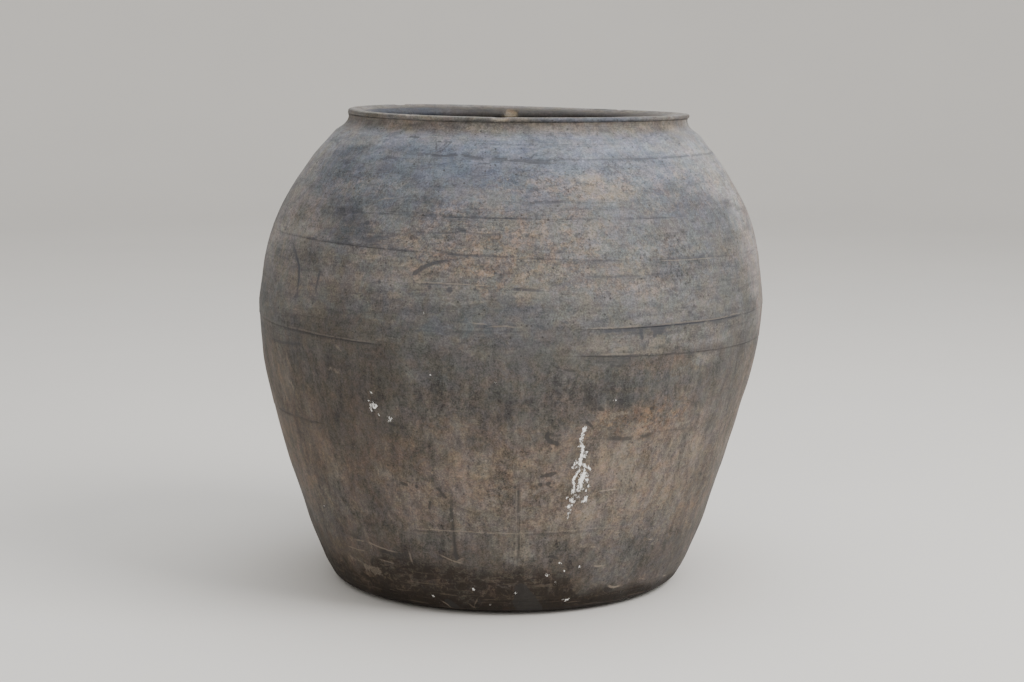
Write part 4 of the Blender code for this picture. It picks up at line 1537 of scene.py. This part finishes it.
# %% Scored lines and scrapes
LOW_INK, HIGH_INK = (0.030, 0.027, 0.025), (0.037, 0.039, 0.048)
SCRAPED_CLAY = (0.300, 0.245, 0.190)
shake = bench.swing(bench.noise(6, 3, 0.6), 1.6)
broken = bench.step(bench.noise(10, 3, 0.6), 0.32, 0.46)
line = bench.maths("ABSOLUTE", bench.add(bench.attribute("ink"), shake))
force = bench.times(bench.attribute("ink_force"), broken)
halo = bench.times(bench.step(line, 5.0, 0.8), bench.times(force, 0.30))
cut = bench.times(bench.step(line, 2.0, 0.7), bench.times(force, 0.80))
ink_colour = bench.mix(wiped, LOW_INK, HIGH_INK)
colour = bench.mix(bench.maths("MAXIMUM", halo, cut), colour, ink_colour)
scrape = bench.maths("ABSOLUTE", bench.add(bench.attribute("chalk"), shake))
scrape = bench.times(bench.step(scrape, 1.5, 0.6), bench.attribute("chalk_force"), broken, 0.6)
colour = bench.mix(scrape, colour, SCRAPED_CLAY)
print("steps in the clay so far:", len(bench.tree.nodes))

# %% [markdown]
# Lime wash is the last thing that fell on the jar. It sits on the high grains in flakes that run
# downwards, so a noise three times as tall as wide breaks up the edge of each splash.

# %% The splashes of lime
LIME_WHITE = (0.95, 0.94, 0.91)
flake = bench.times(bench.less(bench.noise((1.1, 1.1, 3.2), 4, 0.7), 0.53), 9.0)
lime = bench.step(bench.add(bench.attribute("lime"), flake), 0.0, 0.4)
colour = bench.mix(lime, colour, LIME_WHITE)
bench.plug(colour, bench.shader.inputs["Base Color"])
print("steps in the clay so far:", len(bench.tree.nodes))

# %% [markdown]
# Unglazed clay has a faint sheen where the smoke skin is whole and none where it has worn, and soot
# takes the sheen away. The relief comes last, from the same noises as the colour, so that every pit is
# dark and deep at once and every grain pale and proud.

# %% Sheen and relief
RELIEF_DEPTH = 0.5                                        # in mm
dull = bench.tone((mottle, 0.35), (grit, 0.25))
rough = bench.less(bench.times(dull, 0.72), bench.times(smoke, 0.10))
rough = bench.maths("ADD", rough, bench.times(bench.maths("MAXIMUM", worn, lime), 0.2), clamp=True)
bench.plug(rough, bench.shader.inputs["Roughness"])
shine = bench.less(0.45, bench.times(soot, 0.20))
bench.plug(shine, bench.shader.inputs["Specular IOR Level"])
relief = bench.add(bench.times(pebble, 0.45), bench.times(grit, 0.30))
relief = bench.add(relief, bench.times(streak, 0.35))
relief = bench.less(relief, bench.times(bench.maths("MAXIMUM", pit, cut), 0.9))
relief = bench.add(relief, bench.times(bench.maths("MAXIMUM", grain, lime), 0.5))
bench.bump(relief, RELIEF_DEPTH)
clay = bench.material
print("steps in the clay:", len(clay.node_tree.nodes))

# %% [markdown]
# Each fine piece now takes the place of the plain section it was measured from and rides on the jar's
# one body. All the pieces take the one clay material; the slot names beside them, for the soot, the wall,
# the collar and the lip, are only printed.

# %% Put the pieces in place
SLOTS = {
    "soot_clay": ("base_slab", "foot_course"),
    "brown_clay": ("lower_course", "middle_course"),
    "grey_clay": ("belly_band", "upper_belly_course", "lower_shoulder_course",
                  "middle_shoulder_course"),
    "slate_clay": ("upper_shoulder_course",),
    "collar_clay": ("neck_collar",),
    "lip_clay": ("rim_lip",),
}
for slot_name, nodes in SLOTS.items():
    for node in nodes:
        piece = pieces[node]
        piece.data.materials.append(clay)
        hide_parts(node)
        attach(piece, "root")
        print(node, "->", slot_name)

# %% [markdown]
# A pale, plain floor shows unglazed clay best. It is a wide disc whose edge curves up into a wall, so
# that no horizon line crosses the jar. It starts as the upper brim, and each ring is pulled down and in
# along a quarter circle.

# %% Lay the floor
FLOOR_RADIUS, COVE, BRIM = 4.2, 1.6, 2.2      # flat part, curve and upper brim, in m
COVE_RINGS = 11


def pale_floor():
    bench = PaintBench("pale floor")
    cloud = bench.noise(400, 3, 0.5)
    bench.plug(bench.mix(cloud, (0.73, 0.71, 0.68), (0.77, 0.75, 0.72)),
               bench.shader.inputs["Base Color"])
    bench.shader.inputs["Roughness"].default_value = 0.75
    return bench.material


clear_selection()
bpy.ops.mesh.primitive_circle_add(vertices=96, radius=FLOOR_RADIUS + COVE, location=(0, 0, BRIM),
                                  fill_type="NOTHING")
floor = bpy.context.object
floor.name = "floor"
bpy.ops.object.transform_apply(location=True)
bpy.ops.object.mode_set(mode="EDIT")
bpy.ops.mesh.select_all(action="SELECT")
ring_radius, ring_height = FLOOR_RADIUS + COVE, BRIM
for swing in np.radians(np.linspace(90, 0, COVE_RINGS)):
    next_radius = FLOOR_RADIUS + COVE * math.sin(swing)
    next_height = COVE * (1 - math.cos(swing))
    shrink = next_radius / ring_radius
    bpy.ops.mesh.extrude_edges_move(
        TRANSFORM_OT_translate={"value": (0, 0, next_height - ring_height)})
    bpy.ops.transform.resize(value=(shrink, shrink, 1), center_override=(0, 0, 0))
    ring_radius, ring_height = next_radius, next_height
bpy.ops.mesh.edge_face_add()
bpy.ops.mesh.select_all(action="SELECT")
bpy.ops.mesh.normals_make_consistent(inside=True)
bpy.ops.object.mode_set(mode="OBJECT")
bpy.ops.object.shade_smooth_by_angle(angle=math.radians(30))
floor.data.materials.append(pale_floor())
floor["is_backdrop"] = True
print("floor from", round(min(v.co.z for v in floor.data.vertices), 3), "to",
      round(max(v.co.z for v in floor.data.vertices), 2), "m")

# %% [markdown]
# A glossy studio would give the jar highlights it doesn't have, so the light is soft. The main light is a
# broad one, high on the right and a little in front, so the left side falls into shade and the dents and
# ledges read. A weak one overhead and a weak one in front open up the shade, and the sky fills the rest.

# %% Set up the lights
def soft_light(name, place, size, power, colour, aim=(0.0, 0.0, 0.25)):
    bpy.ops.object.light_add(type="AREA", location=place)
    lamp = bpy.context.object
    lamp.name = name
    lamp.data.shape = "RECTANGLE"
    lamp.data.size, lamp.data.size_y = size
    lamp.data.energy = power
    lamp.data.color = colour
    lamp.rotation_euler = (Vector(aim) - lamp.location).to_track_quat("-Z", "Y").to_euler()
    return lamp


soft_light("key light", (2.3, -1.3, 2.3), (1.8, 1.8), 106, (1.0, 0.985, 0.965))
soft_light("top light", (0.3, 0.2, 2.9), (2.2, 2.2), 36, (0.93, 0.97, 1.0))
soft_light("front light", (-0.3, -3.4, 1.6), (2.0, 1.4), 26, (1.0, 0.98, 0.95))

sky = bpy.data.worlds.new("soft sky")
bpy.context.scene.world = sky
sky.use_nodes = True
sky.node_tree.nodes["Background"].inputs["Color"].default_value = (1.0, 0.985, 0.96, 1.0)
sky.node_tree.nodes["Background"].inputs["Strength"].default_value = 0.75

# %% [markdown]
# The eye of a person who stands in front of a table is a little above the lip. A long lens from two
# metres away keeps the jar's sides from bulging, and still shows a narrow view of the mouth.

# %% Place the camera
EYE = Vector((-0.004, -2.07, 0.5285))
TURN, TILT, ROLL = -0.0028, 0.14164, 0.005    # right, down and anticlockwise, in radians
bpy.ops.object.camera_add(location=EYE)
camera = bpy.context.object
look = (Matrix.Rotation(TURN, 4, "Z") @ Matrix.Rotation(math.pi / 2 - TILT, 4, "X")
        @ Matrix.Rotation(ROLL, 4, "Z"))
camera.matrix_world = Matrix.Translation(EYE) @ look
camera.data.lens = 74.23
camera.data.sensor_width = 36
bpy.context.scene.camera = camera
print("camera height:", round(EYE.z, 3), "m")

# %% [markdown]
# The last cell measures the bounds of the shown pieces, leaving out the floor.

# %% Measure and finish
low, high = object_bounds()
